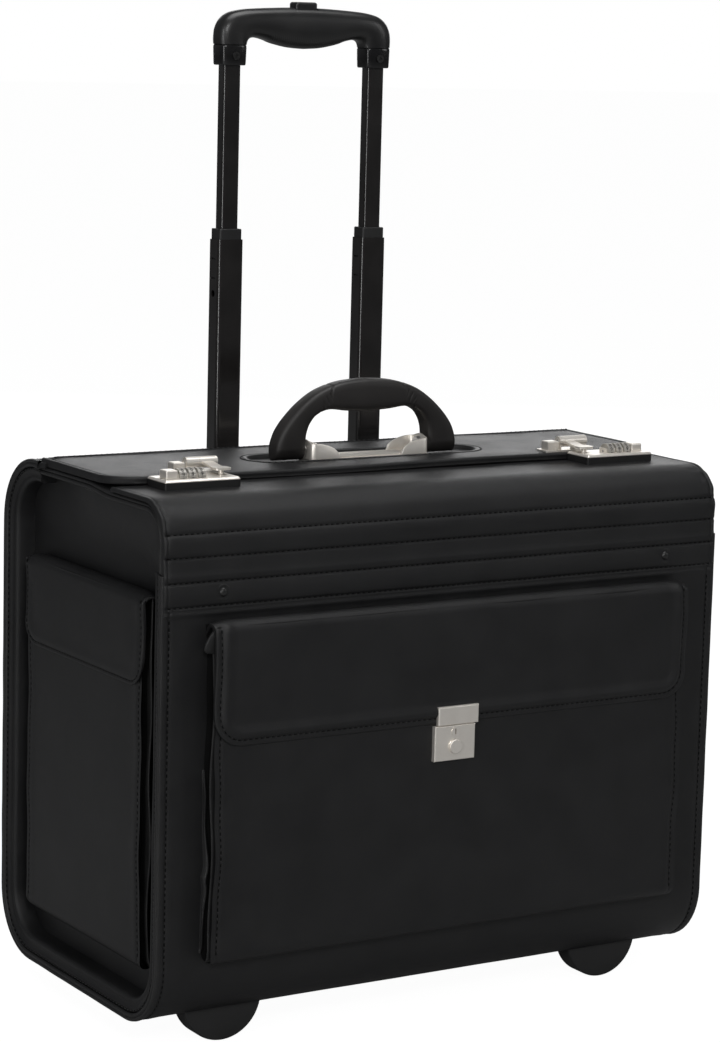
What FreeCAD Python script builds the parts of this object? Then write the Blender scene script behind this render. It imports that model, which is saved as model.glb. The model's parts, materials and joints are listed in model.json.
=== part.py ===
import FreeCAD, Part
import math
import os

# Pilot rolling flight case with a two-stage trolley handle. Millimetres.
# X runs across the case, Y from the front panel to the back, Z up from the floor.
# Shapes are drawn with y = 0 on the front panel; export moves them back by MID_Y,
# so that the origin lies on the floor under the middle of the bounding box.

# ---- Driving dimensions ----
WIDTH = 480.0           # across both stitched rims
DEPTH = 257.0           # front panel to back panel
BASE_Z = 22.0           # underside of the case above the floor
TOP_Z = 403.0           # top of the front flap
BACK_TOP_Z = 406.0      # top of the rolled back edge
CORNER_R = 48.0         # lower corners seen from the side
BACK_TOP_R = 50.0       # upper back corner
FLAP_R = 38.0           # upper front corner, on the front flap
SKIN = 5.0              # board with leather on it
SIDE_X = 222.0          # outer face of the recessed side panels
SIDE_SKIN = 5.0
RIM_DEPTH = 14.0        # rim measured in from the outline
RIM_X = 236.0           # outer face of the rim's inner roll
FLAP_HINGE_Z = 348.8
FLAP_SKIN = 3.0
FLAP_REAR_Y = 82.0
LID_FRONT_Y = 77.0
LID_REAR_Y = 196.8
LID_AXIS_Y = 199.0
LID_R = 28.0            # front corners of the lid
LID_HALF_X = 238.0
FRONT_REACH = 21.2      # pocket lock's button in front of the front panel
BACK_REACH = 263.0      # tyres behind the front panel
MID_Y = (BACK_REACH - FRONT_REACH) / 2

FOLD_BAND_Z = (327.0, 347.0)
RIVET_X = 192.0         # rivets of the fold band
RIVET_Z = 338.0
RIVET_SHANK_R = 2.2
RIVET_HEAD_R = 5.2

POCKET_HALF_X = 204.0
POCKET_Z = (70.0, 318.0)
POCKET_FACE_Y = -14.0
POCKET_FLAP_Z = 230.0   # lower edge of the front pocket's flap
POCKET_LOCK_X = -6.5    # the pocket's lock sits a little left of the middle
POCKET_HASP_X = -4.0
POCKET_HASP_Y = -19.5
POCKET_LOCK_HALF_X = 17.5
POCKET_LOCK_Y = -19.0   # front face of the lock's case
POCKET_BUTTON_R = 5.3
POCKET_BUTTON_Z = 213.0
POCKET_KEY_R = 3.3      # key cylinder above the button
POCKET_KEY_Z = 224.0
SIDE_POCKET_Y = (33.0, 222.0)
SIDE_POCKET_Z = (58.0, 333.0)
SIDE_POCKET_X = 236.0
SIDE_FLAP_Z = 266.0
SHEET = 1.8             # leather on a thin stiffener

TUBE_X = 64.4           # trolley tubes left and right of the middle
TUBE_Y = 234.5
OUTER_TUBE = (25.0, 20.0)
OUTER_BORE = (22.2, 17.2)
OUTER_TUBE_BASE_Z = 52.0
MIDDLE_TUBE = (22.0, 17.0)
MIDDLE_BORE = (20.0, 15.0)
UPPER_TUBE = (15.0, 11.0)
UPPER_BORE = (12.4, 8.4)
MIDDLE_Z = (340.0, 566.0)
UPPER_Z = (506.0, 721.0)
GRIP_BASE_Z = 698.6
GRIP_HALF_Y = 10.5
BUTTON_TOP_Z = 748.0
BUTTON_HALF = (10.0, 6.0)
SCREW_Z = 706.0         # grip screws over the upper tubes

WHEEL_X = 186.0
WHEEL_Y = 232.0
WHEEL_R = 31.0
WHEEL_W = 24.0
HUB_R = 24.0
AXLE_R = 3.0
HOUSING_X = (166.2, 205.8)
FOOT_X = 169.0
FOOT_Y = (30.0, 47.8)
FOOT_R = 32.0

LOCK_X = (152.0, 213.0)
LOCK_Y = (48.0, 76.2)
LOCK_BASE_Z = 408.6
LOCK_PLATE_Z = 410.4     # top of the nickel plate
DIAL_X = (194.5, 187.0, 179.5)
DIAL_Y = 61.0
DIAL_Z = 411.2
DIAL_R = 5.8
HASP_Y = 88.0           # hasp hinge axis
HASP_Z = 416.5
HASP_X = (153.0, 166.0)
HASP_BARREL_R = 4.0
HASP_PIN_R = 1.5
CATCH_X = 159.5         # middle of the hasp's catch
CATCH_Y = 64.4
DIAL_AXLE_R = 1.2

HANDLE_Y = 130.0
HANDLE_PIVOT_Z = 416.0
HANDLE_HALF_Y = 8.8
HANDLE_PIN_R = 2.5
HANDLE_FOOT_R = 8.2
EAR_X = (49.8, 52.0)    # upright ears of the handle's plate
LID_TOP_Z = 408.2       # lid's surface under the handle's plate and the hasps

FIT = 0.06              # radial clearance of running fits
PARTS = {}


# ---- Small tools ----
def vec(x, y, z):
    return FreeCAD.Vector(x, y, z)


def box(x, y, z):
    """Box between the low and high values given for each axis."""
    return Part.makeBox(x[1] - x[0], y[1] - y[0], z[1] - z[0], vec(x[0], y[0], z[0]))


def cylinder(radius, start, direction, length):
    return Part.makeCylinder(radius, length, vec(*start), vec(*direction))


def to_plane(plane, a, b, c=0.0):
    """Point (a, b) in the named plane, c along that plane's normal."""
    return {"yz": vec(c, a, b), "xz": vec(a, c, b), "xy": vec(a, b, c)}[plane]


def rounded_wire(corners, plane, level):
    """Closed outline through corners (a, b, radius), rounded where radius is not 0."""
    count = len(corners)
    ends = []
    for i in range(count):
        a, b, radius = corners[i]
        here = vec(a, b, 0)
        before = vec(*corners[i - 1][:2], 0).sub(here).normalize()
        after = vec(*corners[(i + 1) % count][:2], 0).sub(here).normalize()
        if radius == 0:
            ends.append((here, None, here))
            continue
        half = before.getAngle(after) / 2
        run = radius / math.tan(half)
        middle = vec(before.x + after.x, before.y + after.y, 0).normalize()
        arc_mid = here.add(middle.multiply(radius / math.sin(half) - radius))
        ends.append((here.add(before.multiply(run)), arc_mid, here.add(after.multiply(run))))
    edges = []
    for i in range(count):
        start, arc_mid, end = [p and to_plane(plane, p.x, p.y, level) for p in ends[i]]
        following = to_plane(plane, ends[(i + 1) % count][0].x, ends[(i + 1) % count][0].y, level)
        if arc_mid:
            edges.append(Part.Arc(start, arc_mid, end).toShape())
        if end.distanceToPoint(following) > 1e-6:
            edges.append(Part.LineSegment(end, following).toShape())
    return Part.Wire(edges)


def prism(corners, plane, low, high):
    """Solid between low and high along the plane's normal."""
    face = Part.Face(rounded_wire(corners, plane, low))
    return face.extrude(to_plane(plane, 0, 0, high - low))


def mirrored(shape):
    return shape.mirror(vec(0, 0, 0), vec(1, 0, 0))


def fillet(shape, radius, wanted):
    """Round the edges for which wanted(edge) is true."""
    return shape.makeFillet(radius, [edge for edge in shape.Edges if wanted(edge)])


def tube_section(centre_x, size, z, radius):
    """Rounded rectangular bar standing on the trolley's plane."""
    half_x, half_y = size[0] / 2, size[1] / 2
    corners = [(centre_x + sx * half_x, TUBE_Y + sy * half_y, radius)
               for sx, sy in ((-1, -1), (1, -1), (1, 1), (-1, 1))]
    return prism(corners, "xy", z[0], z[1])


def group(shapes):
    return Part.makeCompound(shapes)


def both_sides(shape):
    """The shape and its mirror image, as two solids."""
    return group([shape, mirrored(shape)])


def add(name, shape):
    """Move a shape into the part's frame and keep it under its node name."""
    moved = shape.copy()
    moved.translate(vec(0, -MID_Y, 0))
    PARTS[name] = moved


def add_pair(name, right_side):
    add(name + "_right", right_side)
    add(name + "_left", mirrored(right_side))


# ---- Case ----
def body_outline(inset, top_z, front_top_r):
    """Side outline of the case, moved in by inset."""
    return [(inset, BASE_Z + inset, CORNER_R - inset),
            (DEPTH - inset, BASE_Z + inset, CORNER_R - inset),
            (DEPTH - inset, top_z, BACK_TOP_R - inset),
            (inset, top_z, front_top_r)]


def housing_block(grow):
    """Lower back corner of the case that a wheel housing fills."""
    return box((HOUSING_X[0] - grow, HOUSING_X[1] + grow), (186 - grow, DEPTH + 10),
               (BASE_Z - 10, 84 + grow))


def tube_holes():
    """Where both trolley tubes pass the rolled back edge."""
    hole = tube_section(TUBE_X, (OUTER_TUBE[0] + 1, OUTER_TUBE[1] + 1), (340, 430), 4)
    return both_sides(hole)


def wrap_band(outer_inset, inner_inset, x, front_top):
    """Band along the front, underside, back and rolled back edge."""
    outer = prism(body_outline(outer_inset, BACK_TOP_Z - outer_inset, 1), "yz", x[0], x[1])
    inner = prism(body_outline(inner_inset, BACK_TOP_Z - inner_inset, 1), "yz",
                  x[0] - 1, x[1] + 1)
    band = outer.cut(inner)
    wide = (x[0] - 1, x[1] + 1)
    top = box(wide, (-1, LID_AXIS_Y + 0.6), (BACK_TOP_Z - inner_inset - 30, BACK_TOP_Z + 5))
    front = box(wide, (-1, inner_inset + 20), (front_top, BACK_TOP_Z + 5))
    return band.cut(top).cut(front)


def outer_shell():
    shell = wrap_band(0, SKIN, (-WIDTH / 2, WIDTH / 2), FLAP_HINGE_Z - 0.2)
    for cut in (housing_block(0), mirrored(housing_block(0)), tube_holes()):
        shell = shell.cut(cut)
    add("outer_shell", shell)


def side_rims():
    """Rolled and stitched edge that stands out round each recessed side panel."""
    rim = wrap_band(SKIN, RIM_DEPTH, (SIDE_X, RIM_X), FLAP_HINGE_Z + 3.2)
    add_pair("side_rim", fillet(rim, 6.0, is_inner_rim_edge))


def is_inner_rim_edge(edge):
    """True for the rim's outward edge that faces the side panel."""
    low, high = RIM_DEPTH - 0.1, DEPTH - RIM_DEPTH + 0.1
    inside = all(low < v.Y < high and BASE_Z + low < v.Z < BACK_TOP_Z - low for v in edge.Vertexes)
    return inside and all(abs(v.X - RIM_X) < 0.01 for v in edge.Vertexes)


def side_panels():
    """Flat panel whose top edge is bound and stands out level with the rims."""
    under_flap = TOP_Z - FLAP_SKIN - 0.4
    under_lid = TOP_Z - 0.2
    front_r = FLAP_R - FLAP_SKIN - 0.5
    panel_x = (SIDE_X - SIDE_SKIN, SIDE_X)
    panel = prism(body_outline(SKIN, BACK_TOP_Z - SKIN, 2), "yz", *panel_x)
    panel = panel.fuse(box(panel_x, (FLAP_REAR_Y + 2, LID_AXIS_Y - 0.2), (TOP_Z - 10, under_lid)))
    front_cut = prism([(-5, FLAP_HINGE_Z - 12, 0), (FLAP_SKIN + 0.6, FLAP_HINGE_Z - 12, 0),
                       (FLAP_SKIN + 0.6, under_flap, front_r), (FLAP_REAR_Y + 2, under_flap, 0),
                       (FLAP_REAR_Y + 2, TOP_Z + 10, 0), (-5, TOP_Z + 10, 0)],
                      "yz", SIDE_X - SIDE_SKIN - 1, RIM_X + 10)
    binding_x = (SIDE_X, RIM_X + 1.5)
    whole = prism([(SKIN, FLAP_HINGE_Z + 3.4, 0), (LID_AXIS_Y - 0.2, FLAP_HINGE_Z + 3.4, 0),
                   (LID_AXIS_Y - 0.2, under_lid, 0), (SKIN, under_lid, 2)], "yz", *binding_x)
    inside = prism([(SKIN + 6, FLAP_HINGE_Z, 0), (LID_AXIS_Y + 5, FLAP_HINGE_Z, 0),
                    (LID_AXIS_Y + 5, under_flap - 5, 0), (SKIN + 6, under_flap - 5, front_r - 4)],
                   "yz", SIDE_X - 1, RIM_X + 3)
    binding = whole.cut(inside)
    panel = panel.fuse(binding).cut(front_cut).removeSplitter()
    add_pair("side_panel", panel)


def interior():
    """Loose floor board and the lining board in front of the trolley tubes."""
    half_x = SIDE_X - SIDE_SKIN
    floor = box((-half_x, half_x), (CORNER_R / 3, 213.8), (BASE_Z + SKIN, BASE_Z + SKIN + 4))
    edge = prism(body_outline(SKIN, BACK_TOP_Z - SKIN, 1), "yz", -half_x, half_x)
    lining = box((-half_x, half_x), (214, 217), (BASE_Z + SKIN + 4, 396))
    for block in (housing_block(0.2), mirrored(housing_block(0.2))):
        floor = floor.cut(block)
        lining = lining.cut(block)
    add("floor_board", floor.common(edge))
    add("back_lining", lining)


def front_band():
    """Stitched leather band along the flap's fold, and its two rivets."""
    half_x = WIDTH / 2 - 1.5
    band = box((-half_x, half_x), (-1.2, 0), FOLD_BAND_Z)
    holes = both_sides(cylinder(RIVET_SHANK_R, (RIVET_X, -2, RIVET_Z), (0, 1, 0), 3))
    add("fold_band", band.cut(holes))
    head = cylinder(RIVET_HEAD_R, (RIVET_X, -2.6, RIVET_Z), (0, 1, 0), 1.4)
    head = fillet(head, 1.0, lambda e: e.BoundBox.YMax < -2.5)
    shank = cylinder(RIVET_SHANK_R, (RIVET_X, -1.2, RIVET_Z), (0, 1, 0), 1.2)
    add("band_rivets", both_sides(head.fuse(shank)))


# ---- Pockets ----
def pouch(width, z, depth):
    """Open-topped pocket: face sheet with side and bottom gussets. Drawn facing -Y at y = 0."""
    outer = prism([(-width / 2, z[0], 12), (width / 2, z[0], 12), (width / 2, z[1], 0),
                   (-width / 2, z[1], 0)], "xz", -depth, 0)
    inner = prism([(-width / 2 + SHEET, z[0] + SHEET, 10), (width / 2 - SHEET, z[0] + SHEET, 10),
                   (width / 2 - SHEET, z[1] + 1, 0), (-width / 2 + SHEET, z[1] + 1, 0)],
                  "xz", -depth + SHEET, 1)
    return outer.cut(inner)


def pouch_flap(width, z, depth, corner_r, gap):
    """Flap over a pouch: hanging sheet with rounded lower corners and a short fold on top."""
    front = -depth - gap - SHEET
    hanging = prism([(-width / 2, z[0], corner_r), (width / 2, z[0], corner_r),
                     (width / 2, z[1] + 2.5, 0), (-width / 2, z[1] + 2.5, 0)],
                    "xz", front, front + SHEET)
    fold = box((-width / 2, width / 2), (front + SHEET, -0.3), (z[1] + 0.7, z[1] + 2.5))
    flap = hanging.fuse(fold).removeSplitter()
    return fillet(flap, 1.5, lambda e: e.BoundBox.ZMin > z[1] + 2.4 and e.BoundBox.YMax < front + 0.1)


def front_pocket():
    add("front_pocket", pouch(2 * POCKET_HALF_X, POCKET_Z, -POCKET_FACE_Y))
    flap = pouch_flap(2 * POCKET_HALF_X + 1.5, (POCKET_FLAP_Z, POCKET_Z[1]), -POCKET_FACE_Y, 22, 0.4)
    add("front_pocket_flap", flap)


def to_right_side(shape):
    """Turn a pouch drawn facing -Y so that it faces +X on the right side panel."""
    turned = shape.copy()
    turned.rotate(vec(0, 0, 0), vec(0, 0, 1), 90)
    turned.translate(vec(SIDE_X, sum(SIDE_POCKET_Y) / 2, 0))
    return turned


def side_pockets():
    width = SIDE_POCKET_Y[1] - SIDE_POCKET_Y[0]
    depth = SIDE_POCKET_X - SIDE_X
    add_pair("side_pocket", to_right_side(pouch(width, SIDE_POCKET_Z, depth)))
    flap = pouch_flap(width + 1.5, (SIDE_FLAP_Z, SIDE_POCKET_Z[1]), depth, 19, 0.4)
    add_pair("side_pocket_flap", to_right_side(flap))


def pocket_lock():
    """Push-button lock on the front pocket, with a key cylinder above the button."""
    x = POCKET_LOCK_X
    front = POCKET_LOCK_Y
    bore_depth = 4.1
    case = box((x - POCKET_LOCK_HALF_X, x + POCKET_LOCK_HALF_X), (front, POCKET_FACE_Y),
               (202.5, POCKET_FLAP_Z - 1.3))
    case = fillet(case, 1.0, lambda e: e.BoundBox.YMax < front + 0.1)
    for radius, z in ((POCKET_KEY_R, POCKET_KEY_Z), (POCKET_BUTTON_R, POCKET_BUTTON_Z)):
        case = case.cut(cylinder(radius + FIT, (x, front - 1, z), (0, 1, 0), bore_depth + 1))
    add("pocket_lock_case", case)

    plug = cylinder(POCKET_KEY_R, (x, front - 0.5, POCKET_KEY_Z), (0, 1, 0), 4.4)
    key_slot = box((x - 0.5, x + 0.5), (front - 1, front + 2.5),
                   (POCKET_KEY_Z - 2.2, POCKET_KEY_Z + 2.2))
    add("pocket_lock_cylinder", plug.cut(key_slot))

    button = cylinder(POCKET_BUTTON_R, (x, -FRONT_REACH, POCKET_BUTTON_Z), (0, 1, 0), 4.2)
    button = fillet(button, 0.8, lambda e: e.BoundBox.YMax < -FRONT_REACH + 0.1)
    add("pocket_lock_button", button)

    flap_face = POCKET_FACE_Y - 0.4 - SHEET
    hasp_x = (POCKET_HASP_X - POCKET_LOCK_HALF_X, POCKET_HASP_X + POCKET_LOCK_HALF_X)
    hasp = box(hasp_x, (POCKET_HASP_Y, flap_face), (POCKET_FLAP_Z - 1, POCKET_FLAP_Z + 13))
    hasp = fillet(hasp, 1.2, lambda e: e.BoundBox.YMax < POCKET_HASP_Y + 0.1)
    add("pocket_hasp_plate", hasp)


# ---- Lid and carry handle ----
def lid_outline(inset, rear_y):
    half_x = LID_HALF_X - inset
    return [(-half_x, LID_FRONT_Y + inset, LID_R - inset), (half_x, LID_FRONT_Y + inset, LID_R - inset),
            (half_x, rear_y, 0), (-half_x, rear_y, 0)]


def stadium(half_x, half_y, z):
    corners = [(sx * half_x, HANDLE_Y + sy * half_y, half_y * 0.98)
               for sx, sy in ((-1, -1), (1, -1), (1, 1), (-1, 1))]
    return prism(corners, "xy", z[0], z[1])


def lid():
    panel = prism(lid_outline(6, LID_REAR_Y), "xy", TOP_Z + 0.8, TOP_Z + 5.2)
    recess = stadium(95, 17, (TOP_Z + 3.2, TOP_Z + 8))
    add("lid_panel", panel.cut(recess))
    outer = prism(lid_outline(0, LID_REAR_Y), "xy", TOP_Z + 0.4, TOP_Z + 5.8)
    inner = prism(lid_outline(6, LID_REAR_Y + 5), "xy", TOP_Z - 1, TOP_Z + 7)
    binding = outer.cut(inner)
    binding = fillet(binding, 2.0, lambda e: e.BoundBox.ZLength < 0.1 and outer_lid_edge(e))
    add("lid_binding", binding)


def outer_lid_edge(edge):
    """True for the lid's outer top and bottom edges, and not for the inner or rear ones."""
    middle = edge.valueAt((edge.FirstParameter + edge.LastParameter) / 2)
    near_side = abs(abs(middle.x) - LID_HALF_X) < 0.1
    near_front = abs(middle.y - LID_FRONT_Y) < 0.1
    corner = math.hypot(abs(middle.x) - (LID_HALF_X - LID_R), middle.y - (LID_FRONT_Y + LID_R))
    on_corner = middle.y < LID_FRONT_Y + LID_R and abs(corner - LID_R) < 0.1
    return near_side or near_front or on_corner


def handle_plate():
    """Nickel plate between the handle's feet, with an upright ear at each end."""
    z = LID_TOP_Z - 2
    plate = box((-EAR_X[1], EAR_X[1]), (HANDLE_Y - 13, HANDLE_Y + 13), (z, z + 2))
    plate = plate.fuse(box((-34, 34), (HANDLE_Y - 10, HANDLE_Y + 10), (z + 2, z + 3.2)))
    for i in range(7):
        groove_y = HANDLE_Y - 7.5 + 2.5 * i
        plate = plate.cut(box((-31, 31), (groove_y - 0.5, groove_y + 0.5), (z + 2.6, z + 4)))
    ear = prism([(HANDLE_Y - 12, z, 0), (HANDLE_Y + 12, z, 0), (HANDLE_Y + 11, z + 16.5, 10),
                 (HANDLE_Y - 11, z + 16.5, 10)], "yz", *EAR_X)
    ear = ear.cut(cylinder(HANDLE_PIN_R, (45, HANDLE_Y, HANDLE_PIVOT_Z), (1, 0, 0), 10))
    plate = plate.fuse(both_sides(ear))
    for y in (HANDLE_Y - 12, HANDLE_Y + 10.6):
        cheek = prism([(27, z + 1, 0), (52, z + 1, 0), (52, z + 15.5, 3), (42, z + 15.5, 11)],
                      "xz", y, y + 1.4)
        plate = plate.fuse(both_sides(cheek))
    add("handle_plate", plate.removeSplitter())
    pin = cylinder(HANDLE_PIN_R, (48.3, HANDLE_Y, HANDLE_PIVOT_Z), (1, 0, 0), 17.7)
    head = cylinder(4.2, (47, HANDLE_Y, HANDLE_PIVOT_Z), (1, 0, 0), 1.3)
    cap = cylinder(4.2, (48.3, HANDLE_Y, HANDLE_PIVOT_Z), (1, 0, 0), 1.5)
    add("handle_pins", both_sides(pin.fuse(head).fuse(cap).removeSplitter()))


def arch_curve(points, y):
    """Smooth curve through the right half of an arch and its mirror image."""
    mirror = [(-a, b) for a, b in reversed(points[:-1])]
    curve = Part.BSplineCurve()
    curve.interpolate([vec(a, y, b) for a, b in points + mirror])
    return curve.toShape()


def carry_handle():
    """Moulded arch handle that turns on pins through its feet."""
    foot = HANDLE_FOOT_R
    foot_z = HANDLE_PIVOT_Z - foot
    outer = [(81, foot_z), (79.5, 420), (75.5, 430), (68, 439.5), (56, 450.5), (41.5, 459.5),
             (22, 465.3), (0, 467)]
    inner = [(54, foot_z), (53.9, 421), (52.4, 431), (46, 440), (34, 444.6), (18, 443), (0, 442)]
    y = HANDLE_Y - HANDLE_HALF_Y
    wire = Part.Wire([arch_curve(outer, y),
                      Part.LineSegment(vec(-81, y, foot_z), vec(-54, y, foot_z)).toShape(),
                      arch_curve(inner, y),
                      Part.LineSegment(vec(54, y, foot_z), vec(81, y, foot_z)).toShape()])
    arch = Part.Face(wire).extrude(vec(0, 2 * HANDLE_HALF_Y, 0))
    arch = fillet(arch, 4.5, lambda e: e.Length > 90 and e.BoundBox.YLength < 0.1)
    side_view = prism([(HANDLE_Y - foot, foot_z, foot - 0.05), (HANDLE_Y + foot, foot_z, foot - 0.05),
                       (HANDLE_Y + foot, HANDLE_PIVOT_Z + 3, 0), (HANDLE_Y + 11, 434, 0),
                       (HANDLE_Y + 11, 480, 0), (HANDLE_Y - 11, 480, 0), (HANDLE_Y - 11, 434, 0),
                       (HANDLE_Y - foot, HANDLE_PIVOT_Z + 3, 0)], "yz", -90, 90)
    arch = arch.common(side_view)
    bore = cylinder(HANDLE_PIN_R + FIT, (45, HANDLE_Y, HANDLE_PIVOT_Z), (1, 0, 0), 22)
    arch = arch.cut(bore).cut(mirrored(bore))
    add("carry_handle", arch)


# ---- Front flap and combination locks ----
def front_flap():
    half_x = WIDTH / 2 - 1
    flap = prism([(0, FLAP_HINGE_Z + 0.2, 0), (0, TOP_Z, FLAP_R), (FLAP_REAR_Y, TOP_Z, 0),
                  (FLAP_REAR_Y, TOP_Z - FLAP_SKIN, 0), (FLAP_SKIN, TOP_Z - FLAP_SKIN, FLAP_R - FLAP_SKIN),
                  (FLAP_SKIN, FLAP_HINGE_Z + 0.2, 0)], "yz", -half_x, half_x)
    add("front_flap", flap)


def dial_window(x):
    """Room for one dial through the lock's plate and base."""
    return box((x - 3.1, x + 3.1), (DIAL_Y - 6.6, DIAL_Y + 6.6), (DIAL_Z - DIAL_R - 0.6, TOP_Z + 20))


def lock_slot():
    """Slot for the hasp's catch, long enough for the lid and flap to part."""
    return box((CATCH_X - 3.5, CATCH_X + 3.5), (CATCH_Y - 3.9, CATCH_Y + 7.1),
               (TOP_Z + 3, TOP_Z + 20))


def locks():
    """Black base with a bevelled nickel plate, dial axle and opening slider."""
    base = box(LOCK_X, LOCK_Y, (TOP_Z, LOCK_BASE_Z))
    base = fillet(base, 1.5, lambda e: e.BoundBox.ZLength > 4)
    plate = box(LOCK_X, LOCK_Y, (LOCK_BASE_Z, LOCK_PLATE_Z))
    plate = fillet(plate, 1.5, lambda e: e.BoundBox.ZLength > 1.5)
    plate = plate.makeChamfer(1.2, [e for e in plate.Edges if e.BoundBox.ZMin > LOCK_PLATE_Z - 0.1])
    slider_track = box((198.5, 211.5), (DIAL_Y - 3, DIAL_Y + 3), (TOP_Z + 2.5, TOP_Z + 20))
    for cut in [dial_window(x) for x in DIAL_X] + [lock_slot(), slider_track]:
        base = base.cut(cut)
        plate = plate.cut(cut)
    cheek = box((175, 198.3), (DIAL_Y - 4.3, DIAL_Y + 4.3), (LOCK_PLATE_Z, DIAL_Z + 2.4))
    for x in DIAL_X:
        cheek = cheek.cut(dial_window(x))
    plate = plate.fuse(cheek).removeSplitter()
    plate = plate.cut(cylinder(DIAL_AXLE_R, (174, DIAL_Y, DIAL_Z), (1, 0, 0), 26))
    add("lock_bases", both_sides(base))
    add("lock_plates", both_sides(plate))
    axle = cylinder(DIAL_AXLE_R, (175.2, DIAL_Y, DIAL_Z), (1, 0, 0), 22.8)
    add("dial_axles", both_sides(axle))

    block = box((198.8, 208.3), (DIAL_Y - 5.5, DIAL_Y + 5.5), (LOCK_PLATE_Z + 0.2, LOCK_PLATE_Z + 6))
    block = fillet(block, 1.2, lambda e: e.BoundBox.ZMin > LOCK_PLATE_Z + 5.9 or e.BoundBox.ZLength > 5)
    stem = box((200, 207.5), (DIAL_Y - 2.9, DIAL_Y + 2.9), (TOP_Z + 2.7, LOCK_PLATE_Z + 0.2))
    add_pair("lock_slider", block.fuse(stem).removeSplitter())


def dials():
    """Numbered wheels with ten shallow flats between their teeth."""
    for index, x in enumerate(DIAL_X):
        dial = cylinder(DIAL_R, (x - 2.8, DIAL_Y, DIAL_Z), (1, 0, 0), 5.6)
        for step in range(10):
            angle = math.radians(36 * step + 18)
            reach = DIAL_R + 0.5
            centre = (x - 4, DIAL_Y + reach * math.cos(angle), DIAL_Z + reach * math.sin(angle))
            dial = dial.cut(cylinder(0.8, centre, (1, 0, 0), 8))
        dial = dial.cut(cylinder(DIAL_AXLE_R + FIT, (x - 4, DIAL_Y, DIAL_Z), (1, 0, 0), 8))
        add_pair("dial_%d" % (index + 1), dial)


def hasp_base(plate_x, block_x):
    """Fixed half of a hasp's hinge, with a small block beside the barrel."""
    top = LID_TOP_Z
    base = box(plate_x, (83.3, 98), (top, top + 2))
    base = fillet(base, 1.5, lambda e: e.BoundBox.ZLength > 1.9)
    block = box(block_x, (84.0, 93.0), (top + 2, HASP_Z + 0.8))
    block = fillet(block, 1.2, lambda e: e.BoundBox.ZMin > HASP_Z + 0.7)
    base = base.fuse(block)
    for x in ((151.2, HASP_X[0] - 0.15), (HASP_X[1] + 0.15, 176.5)):
        knuckle = cylinder(HASP_BARREL_R, (x[0], HASP_Y, HASP_Z), (1, 0, 0), x[1] - x[0])
        web = box(x, (HASP_Y - 3, HASP_Y + 4), (top + 1, HASP_Z))
        base = base.fuse(knuckle).fuse(web)
    return base.removeSplitter().cut(cylinder(HASP_PIN_R, (150, HASP_Y, HASP_Z), (1, 0, 0), 26.5))


def hasps():
    """Hinged hasp on the lid that reaches forward over each lock."""
    right = hasp_base((138, 178), (139.5, 149.5))
    left = mirrored(hasp_base((151, 189), (178.5, 187.5)))
    add("hasp_bases", group([right, left]))
    add("hasp_pins", both_sides(cylinder(HASP_PIN_R, (151.0, HASP_Y, HASP_Z), (1, 0, 0), 25)))

    width = HASP_X[1] - HASP_X[0]
    under, over = LOCK_PLATE_Z + 3.4, LOCK_PLATE_Z + 5.0
    barrel = cylinder(HASP_BARREL_R, (HASP_X[0], HASP_Y, HASP_Z), (1, 0, 0), width)
    arm = prism([(66, under, 0), (72, under, 0), (HASP_Y - 2, under + 1.4, 0),
                 (HASP_Y - 2, over + 2.0, 0), (73, over, 0), (66, over, 0)],
                "yz", HASP_X[0] + 2, HASP_X[1] - 2)
    tab = box(HASP_X, (59.5, 70), (under, over))
    tab = fillet(tab, 2.5, lambda e: e.BoundBox.ZLength > 1.5)
    catch = cylinder(1.9, (CATCH_X, CATCH_Y, TOP_Z + 5.4), (0, 0, 1), under - TOP_Z - 5)
    arm = arm.fuse(barrel).fuse(tab).fuse(catch).removeSplitter()
    arm = arm.cut(cylinder(HASP_PIN_R + FIT, (150, HASP_Y, HASP_Z), (1, 0, 0), 26.5))
    add_pair("hasp", arm)


# ---- Trolley ----
def trolley_case_parts():
    outer = tube_section(TUBE_X, OUTER_TUBE, (OUTER_TUBE_BASE_Z, 400), 4)
    bore = tube_section(TUBE_X, OUTER_BORE, (OUTER_TUBE_BASE_Z - 1, 410), 3)
    add("trolley_outer_tubes", both_sides(outer.cut(bore)))
    bracket = box((-92, 92), (219, 251), (BASE_Z + SKIN, OUTER_TUBE_BASE_Z))
    inside = prism(body_outline(SKIN, BACK_TOP_Z - SKIN, 1), "yz", -100, 100)
    add("trolley_base_bracket", bracket.common(inside))

    hole = tube_section(TUBE_X, OUTER_TUBE, (300, 430), 4)
    bezel = box((TUBE_X - 22, TUBE_X + 22), (217.5, 252.5), (355, 402.5))
    arc_centre = (0, DEPTH - BACK_TOP_R, BACK_TOP_Z - BACK_TOP_R)
    bezel = bezel.common(cylinder(BACK_TOP_R + 5, arc_centre, (1, 0, 0), 120))
    bezel = bezel.cut(cylinder(BACK_TOP_R, arc_centre, (1, 0, 0), 120)).cut(hole)
    add("trolley_bezels", both_sides(bezel))


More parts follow.
